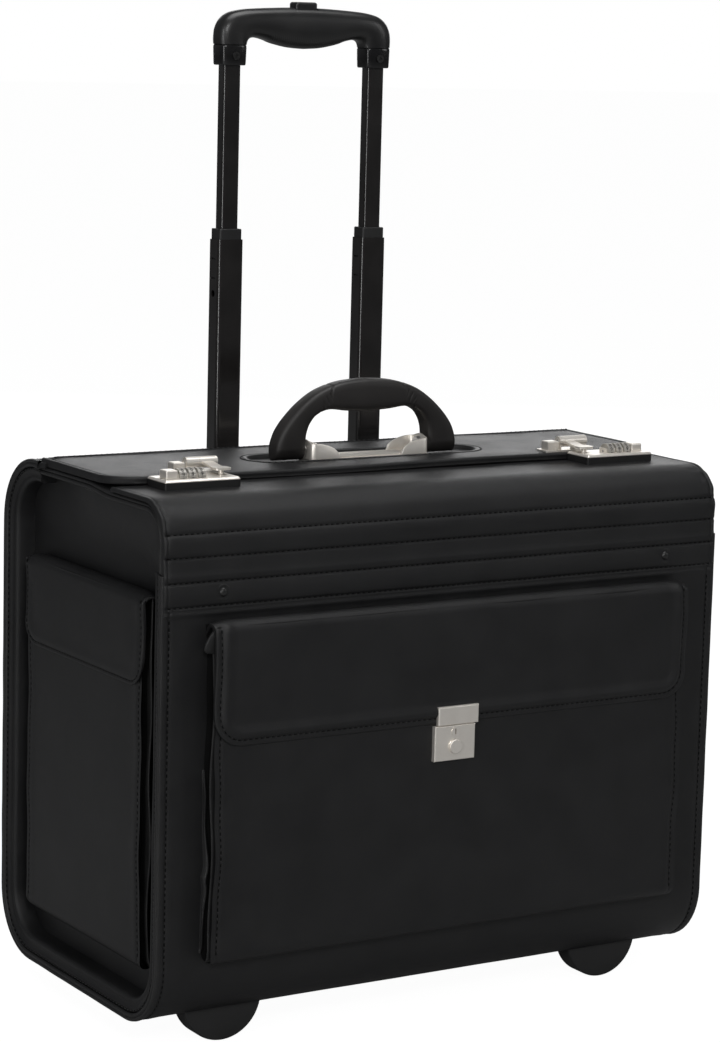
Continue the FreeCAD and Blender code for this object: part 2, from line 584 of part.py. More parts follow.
def trolley_stages():
    middle = tube_section(TUBE_X, MIDDLE_TUBE, MIDDLE_Z, 3.2)
    middle = middle.cut(tube_section(TUBE_X, MIDDLE_BORE, (MIDDLE_Z[0] - 1, MIDDLE_Z[1] + 1), 2.4))
    middle = both_sides(middle)
    for centre_x in (-TUBE_X, TUBE_X):
        wall = (centre_x - MIDDLE_TUBE[0] / 2 - 1, centre_x - MIDDLE_BORE[0] / 2 + 1)
        for drop in (15, 30):
            middle = middle.cut(box(wall, (TUBE_Y - 3, TUBE_Y + 3),
                                    (MIDDLE_Z[1] - drop - 0.7, MIDDLE_Z[1] - drop + 0.7)))
    hole_start = (-TUBE_X - MIDDLE_TUBE[0] / 2 - 1, TUBE_Y, MIDDLE_Z[1] - 42)
    add("trolley_middle_tubes", middle.cut(cylinder(2.6, hole_start, (1, 0, 0), 5)))

    bush = tube_section(TUBE_X, (MIDDLE_BORE[0] - 0.1, MIDDLE_BORE[1] - 0.1), (530, 574), 2.3)
    bush = bush.cut(tube_section(TUBE_X, (UPPER_TUBE[0] + 0.2, UPPER_TUBE[1] + 0.2), (520, 580), 2.2))
    bush = fillet(bush, 0.8, lambda e: e.BoundBox.ZMin > 573.9 and e.BoundBox.XLength > 14
                  and abs(e.BoundBox.Center.y - TUBE_Y) > 7)
    add("trolley_bushes", both_sides(bush))

    upper = tube_section(TUBE_X, UPPER_TUBE, UPPER_Z, 2.4)
    upper = upper.cut(tube_section(TUBE_X, UPPER_BORE, (UPPER_Z[0] - 1, UPPER_Z[1] + 1), 1.6))
    add("trolley_upper_tubes", both_sides(upper))


def grip():
    """Moulded hand grip with a boss over each upper tube."""
    right = [(53.5, GRIP_BASE_Z, 0), (75.5, GRIP_BASE_Z, 0), (80, 719, 12), (77, 738.5, 17),
             (25, 743.5, 80)]
    under = [(49, 716.5, 6), (36, 718, 7), (23, 712.5, 8)]
    outline = right + [(-a, b, r) for a, b, r in reversed(right)]
    outline += [(-a, b, r) for a, b, r in under] + list(reversed(under))
    front = TUBE_Y - GRIP_HALF_Y
    body = prism(outline, "xz", front, TUBE_Y + GRIP_HALF_Y)
    body = fillet(body, 5.0, lambda e: e.BoundBox.YLength < 0.1 and e.BoundBox.ZMin > GRIP_BASE_Z + 0.1
                  or e.BoundBox.YLength < 0.1 and e.BoundBox.ZLength > 10)
    for side in (1, -1):
        body = body.cut(tube_section(side * TUBE_X, UPPER_TUBE, (690, UPPER_Z[1]), 2.4))
    channel = box((-69, 69), (TUBE_Y - 4, TUBE_Y + 4), (UPPER_Z[1] - 0.1, 734))
    half_x, half_y = BUTTON_HALF
    well = box((-half_x - 0.4, half_x + 0.4), (TUBE_Y - half_y - 0.4, TUBE_Y + half_y + 0.4), (729, 760))
    seats = both_sides(cylinder(3.0, (TUBE_X, front - 1, SCREW_Z), (0, 1, 0), 1.4))
    add("grip", body.cut(channel).cut(well).cut(seats))

    screw = cylinder(3.0, (TUBE_X, front - 0.8, SCREW_Z), (0, 1, 0), 1.2)
    socket = cylinder(1.4, (TUBE_X, front - 1.0, SCREW_Z), (0, 1, 0), 1.0)
    add("grip_screws", both_sides(screw.cut(socket)))

    button = box((-half_x, half_x), (TUBE_Y - half_y, TUBE_Y + half_y), (736, BUTTON_TOP_Z))
    button = fillet(button, 3.0, lambda e: e.BoundBox.ZLength > 10)
    button = fillet(button, 2.0, lambda e: e.BoundBox.ZMin > BUTTON_TOP_Z - 0.1)
    add("grip_button", button)
    bar = box((-66, 66), (TUBE_Y - 3, TUBE_Y + 3), (728, 733))
    stem = box((-8, 8), (TUBE_Y - 3, TUBE_Y + 3), (733, 736))
    rods = bar.fuse(stem)
    for side in (1, -1):
        rods = rods.fuse(cylinder(2.0, (side * TUBE_X, TUBE_Y, 514), (0, 0, 1), 215))
    add("release_rods", rods.removeSplitter())


# ---- Wheels and feet ----
def wheels():
    """Wheel housings in the lower back corners, axles, hubs and tyres."""
    outline = prism(body_outline(0, BACK_TOP_Z, 1), "yz", HOUSING_X[0], HOUSING_X[1])
    block = outline.common(housing_block(0))
    cavity_x = (WHEEL_X - WHEEL_W / 2 - 1.5, WHEEL_X + WHEEL_W / 2 + 1.5)
    cavity = cylinder(WHEEL_R + 3.5, (cavity_x[0], WHEEL_Y, WHEEL_R), (1, 0, 0),
                      cavity_x[1] - cavity_x[0])
    below = box(cavity_x, (WHEEL_Y - WHEEL_R - 3.5, DEPTH + 5), (BASE_Z - 5, WHEEL_R))
    block = block.cut(cavity).cut(below)
    axle_start = (HOUSING_X[0] + 0.5, WHEEL_Y, WHEEL_R)
    axle = cylinder(AXLE_R, axle_start, (1, 0, 0), HOUSING_X[1] - HOUSING_X[0] - 1)
    add_pair("wheel_housing", block.cut(axle))
    add("wheel_axles", both_sides(axle))

    half = WHEEL_W / 2
    hub = cylinder(HUB_R, (WHEEL_X - half + 1, WHEEL_Y, WHEEL_R), (1, 0, 0), WHEEL_W - 2)
    for low, high in ((-half, -4), (4, half)):
        ring = cylinder(HUB_R - 3, (WHEEL_X + low, WHEEL_Y, WHEEL_R), (1, 0, 0), high - low)
        boss = cylinder(7.0, (WHEEL_X + low, WHEEL_Y, WHEEL_R), (1, 0, 0), high - low)
        hub = hub.cut(ring.cut(boss))
    hub = hub.cut(cylinder(AXLE_R + FIT, (WHEEL_X - half, WHEEL_Y, WHEEL_R), (1, 0, 0), WHEEL_W))
    add_pair("wheel_hub", hub)
    tyre = cylinder(WHEEL_R, (WHEEL_X - half, WHEEL_Y, WHEEL_R), (1, 0, 0), WHEEL_W)
    tyre = fillet(tyre, 4.0, lambda e: e.BoundBox.ZLength > 50 and e.BoundBox.XLength < 0.1)
    add_pair("wheel_tyre", tyre.cut(cylinder(HUB_R, (WHEEL_X - half, WHEEL_Y, WHEEL_R),
                                             (1, 0, 0), WHEEL_W)))


def feet():
    """Round skid feet under the case's curved front corner, with their flat faces forward."""
    disc = cylinder(FOOT_R, (FOOT_X, FOOT_Y[0], FOOT_R), (0, 1, 0), FOOT_Y[1] - FOOT_Y[0])
    disc = fillet(disc, 1.5, lambda e: e.BoundBox.ZLength > 50 and e.BoundBox.YLength < 0.1)
    add_pair("front_foot", disc.cut(prism(body_outline(0, BACK_TOP_Z, 1), "yz", 0, WIDTH)))


def build():
    outer_shell()
    side_rims()
    side_panels()
    interior()
    front_band()
    front_pocket()
    side_pockets()
    pocket_lock()
    lid()
    handle_plate()
    carry_handle()
    front_flap()
    locks()
    dials()
    hasps()
    trolley_case_parts()
    trolley_stages()
    grip()
    wheels()
    feet()


def export():
    os.makedirs("parts", exist_ok=True)
    for name, shape in PARTS.items():
        solids = shape.Solids
        valid = all(s.isValid() for s in solids)
        print("%-24s solids %d valid %s volume %.0f" % (name, len(solids), valid,
                                                         sum(s.Volume for s in solids)))
        shape = solids[0] if len(solids) == 1 else Part.makeCompound(solids)
        shape.exportStep("parts/%s.step" % name)
    print("nodes", len(PARTS))


build()
export()
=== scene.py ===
import json
import math

import bmesh
import bpy
from mathutils import Matrix, Vector, noise


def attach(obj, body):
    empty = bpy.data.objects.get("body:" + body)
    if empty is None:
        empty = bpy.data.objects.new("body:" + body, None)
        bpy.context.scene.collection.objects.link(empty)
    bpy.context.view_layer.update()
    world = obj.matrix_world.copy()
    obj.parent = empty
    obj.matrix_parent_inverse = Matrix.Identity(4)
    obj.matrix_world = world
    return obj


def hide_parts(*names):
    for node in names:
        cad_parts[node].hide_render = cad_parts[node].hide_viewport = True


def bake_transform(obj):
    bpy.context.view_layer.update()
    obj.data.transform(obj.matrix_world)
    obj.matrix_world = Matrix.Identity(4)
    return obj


# Looks of a pilot rolling flight case. Lengths below are in millimetres, in case coordinates:
# x across, y from the front panel (0) towards the back, z up from the floor.
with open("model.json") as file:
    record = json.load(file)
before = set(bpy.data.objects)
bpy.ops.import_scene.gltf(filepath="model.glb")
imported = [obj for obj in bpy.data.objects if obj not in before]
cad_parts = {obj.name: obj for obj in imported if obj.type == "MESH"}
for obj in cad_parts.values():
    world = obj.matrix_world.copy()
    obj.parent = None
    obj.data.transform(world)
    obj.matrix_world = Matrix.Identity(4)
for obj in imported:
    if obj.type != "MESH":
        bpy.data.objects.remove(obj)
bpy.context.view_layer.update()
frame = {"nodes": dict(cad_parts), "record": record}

MM = 0.001
MID_Y = 120.9             # case coordinate of the frame's y = 0
HALF_W = 240.0
DEPTH = 257.0
BASE_Z = 22.0
LOWER_R = 48.0
BACK_TOP_Z = 406.0
BACK_TOP_R = 50.0
SHELL_TOP_Z = 348.4
SKIN = 5.0
PANEL_X = 222.0
PANEL_BACK_X = 217.5
PANEL_INSET, PANEL_TOP_INSET = 13.0, 8.0
TOP_Z = 403.0
FLAP_R = 29.0
FLAP_REAR_Y = 82.0
FLAP_HALF_X = 239.0
FLAP_SKIN = 3.0
SEAM_ROWS = (328.8, 346.0, 363.5, 380.0)
PADDING = (1.3, 0.75, 1.25)           # swell of the leather between those rows
LID_X = 238.0
LID_Y = (77.0, 196.8)
LID_Z = (403.4, 408.8)
LID_R = 28.0
LID_SEAM = 4.2
LID_LIP = ((-0.1, 1.2), (0.45, 2.5), (-0.1, 3.7))
HANDLE_Y = 130.0
RECESS = (99.0, 19.5)     # half length and half width of the recess under the carry handle
RIVET_X, RIVET_Z = 192.0, 338.0
STITCH_PITCH = 4.5
STITCH_X = 233.8          # stitch column next to each side edge
STITCH_COLUMN_TOP = 321.0
BAND_RIDGE_Z = 323.8      # leather pushed up by the band's lower seam
RIDGE_SPAN = (328.0, 319.0)           # where the outline needs close steps for it
EDGE_TOP_Z = 352.0        # upper end of the edge bindings, just past the fold
SIDES = (("left", -1), ("right", 1))


# ---- Materials ----
def rgba(value):
    """Colour with alpha, from a colour or a grey."""
    return (*value, 1) if isinstance(value, tuple) else (value, value, value, 1)


def new_material(name, color, roughness, **sockets):
    material = bpy.data.materials.new(name)
    material.use_nodes = True
    shader = material.node_tree.nodes["Principled BSDF"]
    shader.inputs["Base Color"].default_value = rgba(color)
    shader.inputs["Roughness"].default_value = roughness
    for key, value in sockets.items():
        shader.inputs[key.replace("_", " ")].default_value = value
    return material, material.node_tree, shader


def add_node(tree, kind, links=None, **values):
    node = tree.nodes.new(kind)
    for key, value in values.items():
        if key in node.inputs:
            node.inputs[key].default_value = value
        else:
            setattr(node, key, value)
    for socket, source in (links or {}).items():
        tree.links.new(source, node.inputs[socket])
    return node


def object_coords(tree):
    return {"Vector": tree.nodes.new("ShaderNodeTexCoord").outputs["Object"]}


def noise_texture(tree, coords, scale, detail, roughness=0.5):
    node = add_node(tree, "ShaderNodeTexNoise", coords, Scale=scale, Detail=detail, Roughness=roughness)
    return node.outputs["Fac"]


def combine(tree, operation, a, b):
    """Math on two values, the first a socket and the second a socket or a number."""
    node = add_node(tree, "ShaderNodeMath", {0: a}, operation=operation)
    if isinstance(b, float):
        node.inputs[1].default_value = b
    else:
        tree.links.new(b, node.inputs[1])
    return node.outputs[0]


def ramp(tree, source, span, values):
    """Colour or grey that goes from one value to the other as the source crosses the span."""
    node = tree.nodes.new("ShaderNodeValToRGB")
    for element, at, value in zip(node.color_ramp.elements, span, values):
        element.position = at
        element.color = rgba(value)
    tree.links.new(source, node.inputs["Fac"])
    return node.outputs["Color"]


def vary(tree, shader, key, source, span, values):
    tree.links.new(ramp(tree, source, span, values), shader.inputs[key])


def bump(tree, shader, height, strength, distance):
    node = add_node(tree, "ShaderNodeBump", {"Height": height}, Strength=strength, Distance=distance)
    tree.links.new(node.outputs["Normal"], shader.inputs["Normal"])


def leather(name, dark, light, rough, grain=1500.0, level=0.34):
    """Fine-grained black leather: cells and pores, soft mottling and slightly worn sheen."""
    material, tree, shader = new_material(name, dark, sum(rough) / 2, Specular_IOR_Level=level)
    coords = object_coords(tree)
    cells = add_node(tree, "ShaderNodeTexVoronoi", coords, feature="DISTANCE_TO_EDGE", Scale=grain)
    pores = noise_texture(tree, coords, 2600.0, 3.0)
    slow = noise_texture(tree, coords, 28.0, 4.0, 0.6)
    creases = noise_texture(tree, coords, 130.0, 5.0, 0.65)
    grain_height = combine(tree, "ADD", ramp(tree, cells.outputs["Distance"], (0.0, 0.16), (0.0, 1.0)), pores)
    height = combine(tree, "ADD", grain_height, combine(tree, "MULTIPLY", creases, 2.4))
    bump(tree, shader, height, 0.38, 0.00016)
    vary(tree, shader, "Base Color", slow, (0.3, 0.72), (dark, light))
    vary(tree, shader, "Roughness", slow, (0.28, 0.75), rough)
    return material


def plastic(name, dark, light, rough, scale=900.0, strength=0.25, distance=0.00012, **sockets):
    """Moulded plastic with a fine spark-eroded surface."""
    material, tree, shader = new_material(name, dark, rough[0], **sockets)
    coords = object_coords(tree)
    slow = noise_texture(tree, coords, 40.0, 3.0)
    bump(tree, shader, noise_texture(tree, coords, scale, 4.0), strength, distance)
    vary(tree, shader, "Base Color", slow, (0.3, 0.7), (dark, light))
    vary(tree, shader, "Roughness", slow, (0.3, 0.7), rough)
    return material


def metal(name, dark, light, rough, strength=0.12, metallic=1.0):
    """Plated metal with fine brushing along X and faint wear."""
    material, tree, shader = new_material(name, light, rough[0], Metallic=metallic)
    coords = object_coords(tree)
    mapping = add_node(tree, "ShaderNodeMapping", coords, Scale=(60.0, 900.0, 900.0))
    brush = noise_texture(tree, {"Vector": mapping.outputs["Vector"]}, 4.0, 3.0)
    bump(tree, shader, brush, strength, 0.00005)
    vary(tree, shader, "Base Color", noise_texture(tree, coords, 90.0, 5.0), (0.3, 0.6), (dark, light))
    vary(tree, shader, "Roughness", brush, (0.3, 0.7), rough)
    return material


def woven(name, dark, light):
    """Thin woven lining cloth."""
    material, tree, shader = new_material(name, dark, 0.85, Specular_IOR_Level=0.2, Sheen_Weight=0.25)
    coords = object_coords(tree)
    warp, weft = (add_node(tree, "ShaderNodeTexWave", coords, Scale=420.0, bands_direction=axis)
                  for axis in "XZ")
    both = combine(tree, "MULTIPLY", warp.outputs["Fac"], weft.outputs["Fac"])
    bump(tree, shader, both, 0.5, 0.0002)
    vary(tree, shader, "Base Color", both, (0.0, 1.0), (dark, light))
    return material


LEATHER = leather("case_leather", (0.0075, 0.0075, 0.008), (0.013, 0.013, 0.0135), (0.40, 0.50))
# Edge leather lighter and a little glossier than the case leather: painted highlight along the edges, folds
# and stitch puckers that use it.
EDGE_LEATHER_PAINTED_HIGHLIGHT = leather("edge_leather_painted_highlight", (0.010, 0.010, 0.0105), 0.02, (0.34, 0.46), 1900.0)
# Near-black leather for the pouch gussets: painted shade, so the deep folds stay dark whatever light reaches
# them.
GUSSET_PAINTED_SHADE = leather("gusset_painted_shade", (0.0012, 0.0012, 0.0013), 0.003, (0.62, 0.74), level=0.1)
# Thread darker than the leather: partly its own black, partly painted shade of the stitch holes.
THREAD_WITH_PAINTED_SHADE = plastic("black_thread_painted_shade", 0.0012, 0.0028, (0.6, 0.75), 3000.0, 0.5, Specular_IOR_Level=0.1)
LINING = woven("black_lining", (0.012, 0.012, 0.014), (0.032, 0.032, 0.035))
BLACK_PLASTIC = plastic("moulded_black", (0.008, 0.008, 0.0085), 0.013, (0.42, 0.52))
GRIP_PLASTIC = plastic("grip_black", (0.010, 0.010, 0.0102), 0.015, (0.28, 0.36), 1400.0, 0.15)
LACQUER = plastic("lacquered_tube", (0.0085, 0.0075, 0.0072), (0.0125, 0.011, 0.0105), (0.2, 0.27), 220.0,
                  0.03, 0.00005, Coat_Weight=0.7, Coat_Roughness=0.1)
HANDLE_PLASTIC = plastic("handle_black", (0.0125, 0.011, 0.0105), (0.019, 0.017, 0.016), (0.46, 0.56),
                         1100.0, 0.3)
GLOSS_PLASTIC = plastic("gloss_black", (0.006, 0.006, 0.0065), 0.01, (0.16, 0.24), 500.0, 0.08)
NICKEL = metal("satin_nickel", (0.87, 0.825, 0.76), (0.91, 0.865, 0.80), (0.32, 0.42), 0.06, 0.72)
STEEL = metal("bright_zinc", (0.30, 0.30, 0.31), (0.52, 0.52, 0.53), (0.28, 0.4))
RIVET = plastic("black_rivet", 0.010, 0.016, (0.3, 0.38), 300.0, 0.05)
DIAL = plastic("dial_ring", (0.42, 0.40, 0.37), (0.55, 0.53, 0.49), (0.3, 0.38), 700.0, 0.1, Metallic=0.6)
NUMERAL = plastic("numeral_ink", 0.01, 0.02, (0.5, 0.6))
RUBBER = plastic("tyre_rubber", 0.012, 0.02, (0.6, 0.72), 500.0, 0.4)
FOOT = plastic("foot_black", (0.012, 0.012, 0.0125), 0.017, (0.5, 0.6), 1100.0, 0.35)
BOARD = plastic("board_cover", 0.012, 0.02, (0.6, 0.7), 400.0, 0.4)

SLOT_MATERIALS = {
    "leather": LEATHER, "lining": LINING, "board": BOARD, "black_plastic": BLACK_PLASTIC,
    "grip_plastic": GRIP_PLASTIC, "tube_metal": LACQUER, "nickel": NICKEL, "steel": STEEL,
    "dial_plastic": DIAL, "rivet_metal": RIVET, "tyre_rubber": RUBBER, "foot_plastic": FOOT,
}
NODE_MATERIALS = {"grip_screws": RIVET}


def dress_cad_nodes():
    """Give every CAD node the finish of its slot in the record, or one of its own."""
    for subpart in frame["record"]["subparts"]:
        node = frame["nodes"][subpart["node"]]
        material = NODE_MATERIALS.get(subpart["node"], SLOT_MATERIALS[subpart["material_slot"]])
        node.data.materials.clear()
        node.data.materials.append(material)


# ---- Mesh tools ----
def place(point):
    """Case coordinates in millimetres to the frame's metres."""
    return (point[0] * MM, (point[1] - MID_Y) * MM, point[2] * MM)


def linked(name, data):
    """New object with this data, in the scene."""
    obj = bpy.data.objects.new(name, data)
    bpy.context.scene.collection.objects.link(obj)
    return obj


def closed_mesh(name, points, faces):
    """Mesh from points in case coordinates, with outward normals."""
    mesh = bpy.data.meshes.new(name)
    mesh.from_pydata([place(p) for p in points], [], faces)
    work = bmesh.new()
    work.from_mesh(mesh)
    bmesh.ops.recalc_face_normals(work, faces=work.faces)
    work.to_mesh(mesh)
    work.free()
    return mesh


def piece(name, points, faces, materials, slot, body=None, face_slots=None, sharp=50):
    """Piece of the object from points in case coordinates, riding on a body."""
    mesh = closed_mesh(name, points, faces)
    for material in materials:
        mesh.materials.append(material)
    if face_slots:
        mesh.polygons.foreach_set("material_index", face_slots)
    mesh.polygons.foreach_set("use_smooth", [True] * len(mesh.polygons))
    mesh.set_sharp_from_angle(angle=math.radians(sharp))
    obj = linked(name, mesh)
    if body:
        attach(obj, body)
    return obj


def loft(sections, ring=False):
    """Points and faces through closed sections that all have the same number of points."""
    count, rows = len(sections[0]), len(sections)
    points = [p for section in sections for p in section]
    faces = []
    for i in range(rows if ring else rows - 1):
        a, b = i * count, (i + 1) % rows * count
        for j in range(count):
            k = (j + 1) % count
            faces.append((a + j, a + k, b + k, b + j))
    if not ring:
        faces.append(tuple(range(count - 1, -1, -1)))
        faces.append(tuple(range((rows - 1) * count, rows * count)))
    return points, faces


def lofted(name, sections, materials, slot="leather", body=None, second=(0, 0), sharp=50, ring=False):
    """Lofted piece; its strips from second[0] up to second[1] take the second material."""
    points, faces = loft(sections, ring)
    count = len(sections[0])
    face_slots = [int(second[0] <= j % count < second[1]) for j in range(len(faces))]
    return piece(name, points, faces, materials, slot, body, face_slots, sharp)


def together(*shapes):
    """Several (points, faces) as one."""
    points, faces = [], []
    for more, own_faces in shapes:
        base = len(points)
        points += more
        faces += [tuple(base + v for v in face) for face in own_faces]
    return points, faces


def block(x, y, z):
    """Closed box between two values on each axis."""
    return loft([[(x[i], y[j], level) for i, j in ((0, 0), (1, 0), (1, 1), (0, 1))] for level in z])


def cut(obj, cutters):
    """Cut closed shapes, given as (points, faces), out of a piece."""
    for points, faces in cutters:
        cutter = linked("cutter", closed_mesh("cutter", points, faces))
        modifier = obj.modifiers.new("cut", "BOOLEAN")
        modifier.object = cutter
        modifier.solver = "EXACT"
        bpy.context.view_layer.update()
        graph = bpy.context.evaluated_depsgraph_get()
        mesh = bpy.data.meshes.new_from_object(obj.evaluated_get(graph))
        obj.modifiers.clear()
        obj.data = mesh
        bpy.data.objects.remove(cutter)


# ---- Shape tools ----
def spread(low, high, step, fine=(), reach=(0.6, 1.3, 2.4, 4.0)):
    """Positions from low to high about step apart, with extra ones round each fine position."""
    count = max(1, round((high - low) / step))
    values = {round(low + (high - low) * i / count, 3) for i in range(count + 1)}
    for f in fine:
        values |= {round(f + s * r, 3) for r in (0.0, *reach) for s in (-1, 1)}
    kept = []
    for v in sorted(values):
        if low <= v <= high and (not kept or v - kept[-1] > 0.25):
            kept.append(v)
    if kept[-1] != high:
        kept[-1] = high
    return kept


def both_ends(right_end, middle):
    """Positions across: the right end's mirror image, the middle and the right end."""
    return [-x for x in reversed(right_end)] + middle + right_end


def smooth(low, high, value):
    """Soft step from 0 at low to 1 at high, or the other way where low is above high."""
    t = min(1.0, max(0.0, (value - low) / (high - low)))
    return t * t * (3 - 2 * t)


def hill(distance, width):
    """Rounded hill of height 1 at distance 0."""
    return math.exp(-(distance / width) ** 2)


def waver(a, b, size, seed):
    """Slow unevenness of hand-laid leather, from -1 to 1."""
    return noise.noise(Vector((a / size, b / size, seed)))


def edge_round(distance, radius):
    """How far a rounded edge has dropped at this distance in from it."""
    if distance >= radius:
        return 0.0
    return radius - math.sqrt(max(0.0, radius ** 2 - (radius - distance) ** 2))


def corner_distance(p, q, radius):
    """Distance in from two edges that meet in a round corner, from the distances p and q to each."""
    if p < radius and q < radius:
        return radius - math.hypot(radius - p, radius - q)
    return min(p, q)


def line_points(start, end, step):
    count = max(1, round(math.dist(start, end) / step))
    return [(start[0] + (end[0] - start[0]) * i / count, start[1] + (end[1] - start[1]) * i / count)
            for i in range(count + 1)]


def arc_points(centre, radius, start, end, count):
    """Points and outward directions on an arc, angles in degrees from the first axis to the second."""
    found = []
    for i in range(count + 1):
        angle = math.radians(start + (end - start) * i / count)
        out = (math.cos(angle), math.sin(angle))
        found.append((centre[0] + radius * out[0], centre[1] + radius * out[1], *out))
    return found


def with_normal(points, out):
    return [(*p, *out) for p in points]


def joined(*runs):
    """One path of (y, z, ny, nz, length so far) from several runs, without doubled points."""
    path = []
    for run in runs:
        for y, z, ny, nz in run:
            if path and math.dist(path[-1][:2], (y, z)) < 0.05:
                continue
            so_far = path[-1][4] + math.dist(path[-1][:2], (y, z)) if path else 0.0
            path.append((y, z, ny, nz, so_far))
    return path


def inside(sample, inset):
    return (sample[0] - sample[2] * inset, sample[1] - sample[3] * inset)


def case_path(top_z, step=8.0):
    """Outer outline: down the front, under the case, up the back and over the rolled edge."""
    low, back = BASE_Z + LOWER_R, DEPTH - LOWER_R
    front = line_points((0, top_z), (0, RIDGE_SPAN[0] + 2), step)
    front += line_points((0, RIDGE_SPAN[0]), (0, RIDGE_SPAN[1]), 1.0)
    front += line_points((0, RIDGE_SPAN[1]), (0, low), step)
    return joined(
        with_normal(front, (-1, 0)),
        arc_points((LOWER_R, low), LOWER_R, 180, 270, 14),
        with_normal(line_points((LOWER_R, BASE_Z), (back, BASE_Z), step), (0, -1)),
        arc_points((back, low), LOWER_R, 270, 360, 14),
        with_normal(line_points((DEPTH, low), (DEPTH, BACK_TOP_Z - BACK_TOP_R), step), (1, 0)),
        arc_points((DEPTH - BACK_TOP_R, BACK_TOP_Z - BACK_TOP_R), BACK_TOP_R, 0, 90, 14),
        with_normal(line_points((DEPTH - BACK_TOP_R, BACK_TOP_Z), (199.6, BACK_TOP_Z), step), (0, 1)))


# ---- Stitches ----
THREAD_STITCH = (0.55, 3.1, 0.0)      # radius, length and height of a stitch
PUCKER = (0.75, 2.2, 0.05)            # leather pushed up between two stitches
BEAD_RINGS = ((-0.5, 0.25), (-0.36, 0.85), (0.0, 1.0), (0.36, 0.85), (0.5, 0.25))
BEAD_SIDES = 6


def stitches(name, runs, body):
    """Separate thread stitches along runs of (point, outward direction), with puckers between them."""
    threads, puckers = (together(*(bead for run in runs for bead in beads(run, offset, *size)))
                        for offset, size in ((0.0, THREAD_STITCH), (0.5, PUCKER)))
    face_slots = [0] * len(threads[1]) + [1] * len(puckers[1])
    piece(name, *together(threads, puckers), [THREAD_WITH_PAINTED_SHADE, EDGE_LEATHER_PAINTED_HIGHLIGHT], "leather", body, face_slots)


def beads(run, offset, radius, length, lift):
    """One small lozenge for each pitch of a run, moved along by the offset in pitches."""
    lengths = [0.0]
    for i in range(1, len(run)):
        lengths.append(lengths[-1] + math.dist(run[i - 1][0], run[i][0]))
    count, index = int(lengths[-1] / STITCH_PITCH), 0
    for k in range(count):
        at = min((k + 0.5 + offset) * lengths[-1] / count, lengths[-1])
        while lengths[index + 1] < at:
            index += 1
        a, b = Vector(run[index][0]), Vector(run[index + 1][0])
        share = (at - lengths[index]) / max(1e-9, lengths[index + 1] - lengths[index])
        along = (b - a).normalized()
        out = Vector(run[index][1]).normalized()
        across = along.cross(out).normalized()
        centre = a.lerp(b, share) + out * lift
        sections = []
        for place_along, size in BEAD_RINGS:
            dip = out * (-radius * 1.3 * (2 * place_along) ** 4)
            middle = centre + along * (place_along * length) + dip
            angles = [side * 2 * math.pi / BEAD_SIDES for side in range(BEAD_SIDES)]
            sections.append([middle + (across * math.cos(angle) + out * math.sin(angle)) * radius * size
                             for angle in angles])
        yield loft(sections)


# ---- Case shell, edges and rims ----
WHEEL_WELL = ((166.2, 205.8), (186, 267), (12, 84))
TUBE_WELL = ((51.4, 77.4), (224.0, 245.0), (330, 430))


def shell_height(x, sample):
    side = HALF_W - abs(x)
    rise = 0.55 * (hill(side - 2.6, 2.2) - hill(abs(x) - STITCH_X, 0.9)) + 0.45 * hill(side - 12.0, 4.5)
    if sample[2] == -1:
        rise += 0.9 * hill(sample[1] - BAND_RIDGE_Z, 1.9)
    return rise + 0.45 * waver(x, sample[4], 85.0, 3.0) + 0.10 * waver(x, sample[4], 22.0, 9.0)


def shell():
    columns = spread(-HALF_W + 2, HALF_W - 2, 9.0, (-STITCH_X, STITCH_X))
    sections = []
    for sample in case_path(SHELL_TOP_Z):
        outer = [(x, -shell_height(x, sample)) for x in columns]
        right = [(HALF_W - 0.4, 0.6), (HALF_W - 0.2, 2.4), (HALF_W - 0.8, SKIN)]
        inner = [(x, SKIN) for x in reversed(columns[1:-1])]
        left = [(-x, d) for x, d in reversed(right)]
        sections.append([(x, *inside(sample, d)) for x, d in outer + right + inner + left])
    body = lofted("shell_leather", sections, [LEATHER, LINING], second=(len(columns) + 3, 2 * len(columns)))
    cut(body, [block([sign * v for v in x], y, z) for sign in (1, -1) for x, y, z in (WHEEL_WELL, TUBE_WELL)])
    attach(body, "case")
    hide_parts("outer_shell")


def swept(name, path, profile, material, sign, shift):
    """Sweep a closed profile of (x, inset) along a path, on the side of the sign."""
    sections = []
    for sample in path:
        move = shift(sample)
        sections.append([(sign * x + move[0], *inside(sample, d + move[1])) for x, d in profile])
    return lofted(name, sections, [material], body="case")


EDGE_PROFILE = [(236.9, -0.25), (238.2, -0.7), (239.7, -0.5), (240.5, 0.3), (240.5, 1.4), (239.7, 2.2),
                (240.5, 3.0), (240.5, 4.5), (239.7, 5.3), (238.2, 5.6), (236.9, 5.0)]
ROLL_PROFILE = [(221.5, 5.2), (236.6, 5.2), (238.2, 5.7), (239.0, 6.6), (238.9, 7.6), (238.0, 8.8),
                (237.0, 10.4), (236.8, 12.0), (237.2, 13.4), (237.1, 14.8), (236.0, 16.0), (234.0, 16.6),
                (228.0, 16.8), (221.5, 16.8)]
ROLL_STITCH = (239.05, 7.1)
BOUND_PROFILE = [(PANEL_BACK_X, 4.0), (236.2, 3.7), (237.9, 4.3), (238.4, 5.2), (237.9, 6.0), (236.8, 6.5),
                 (237.9, 7.1), (238.3, 8.2), (237.6, 9.5), (236.0, 10.2), (234.0, 10.4), (PANEL_BACK_X, 10.4)]


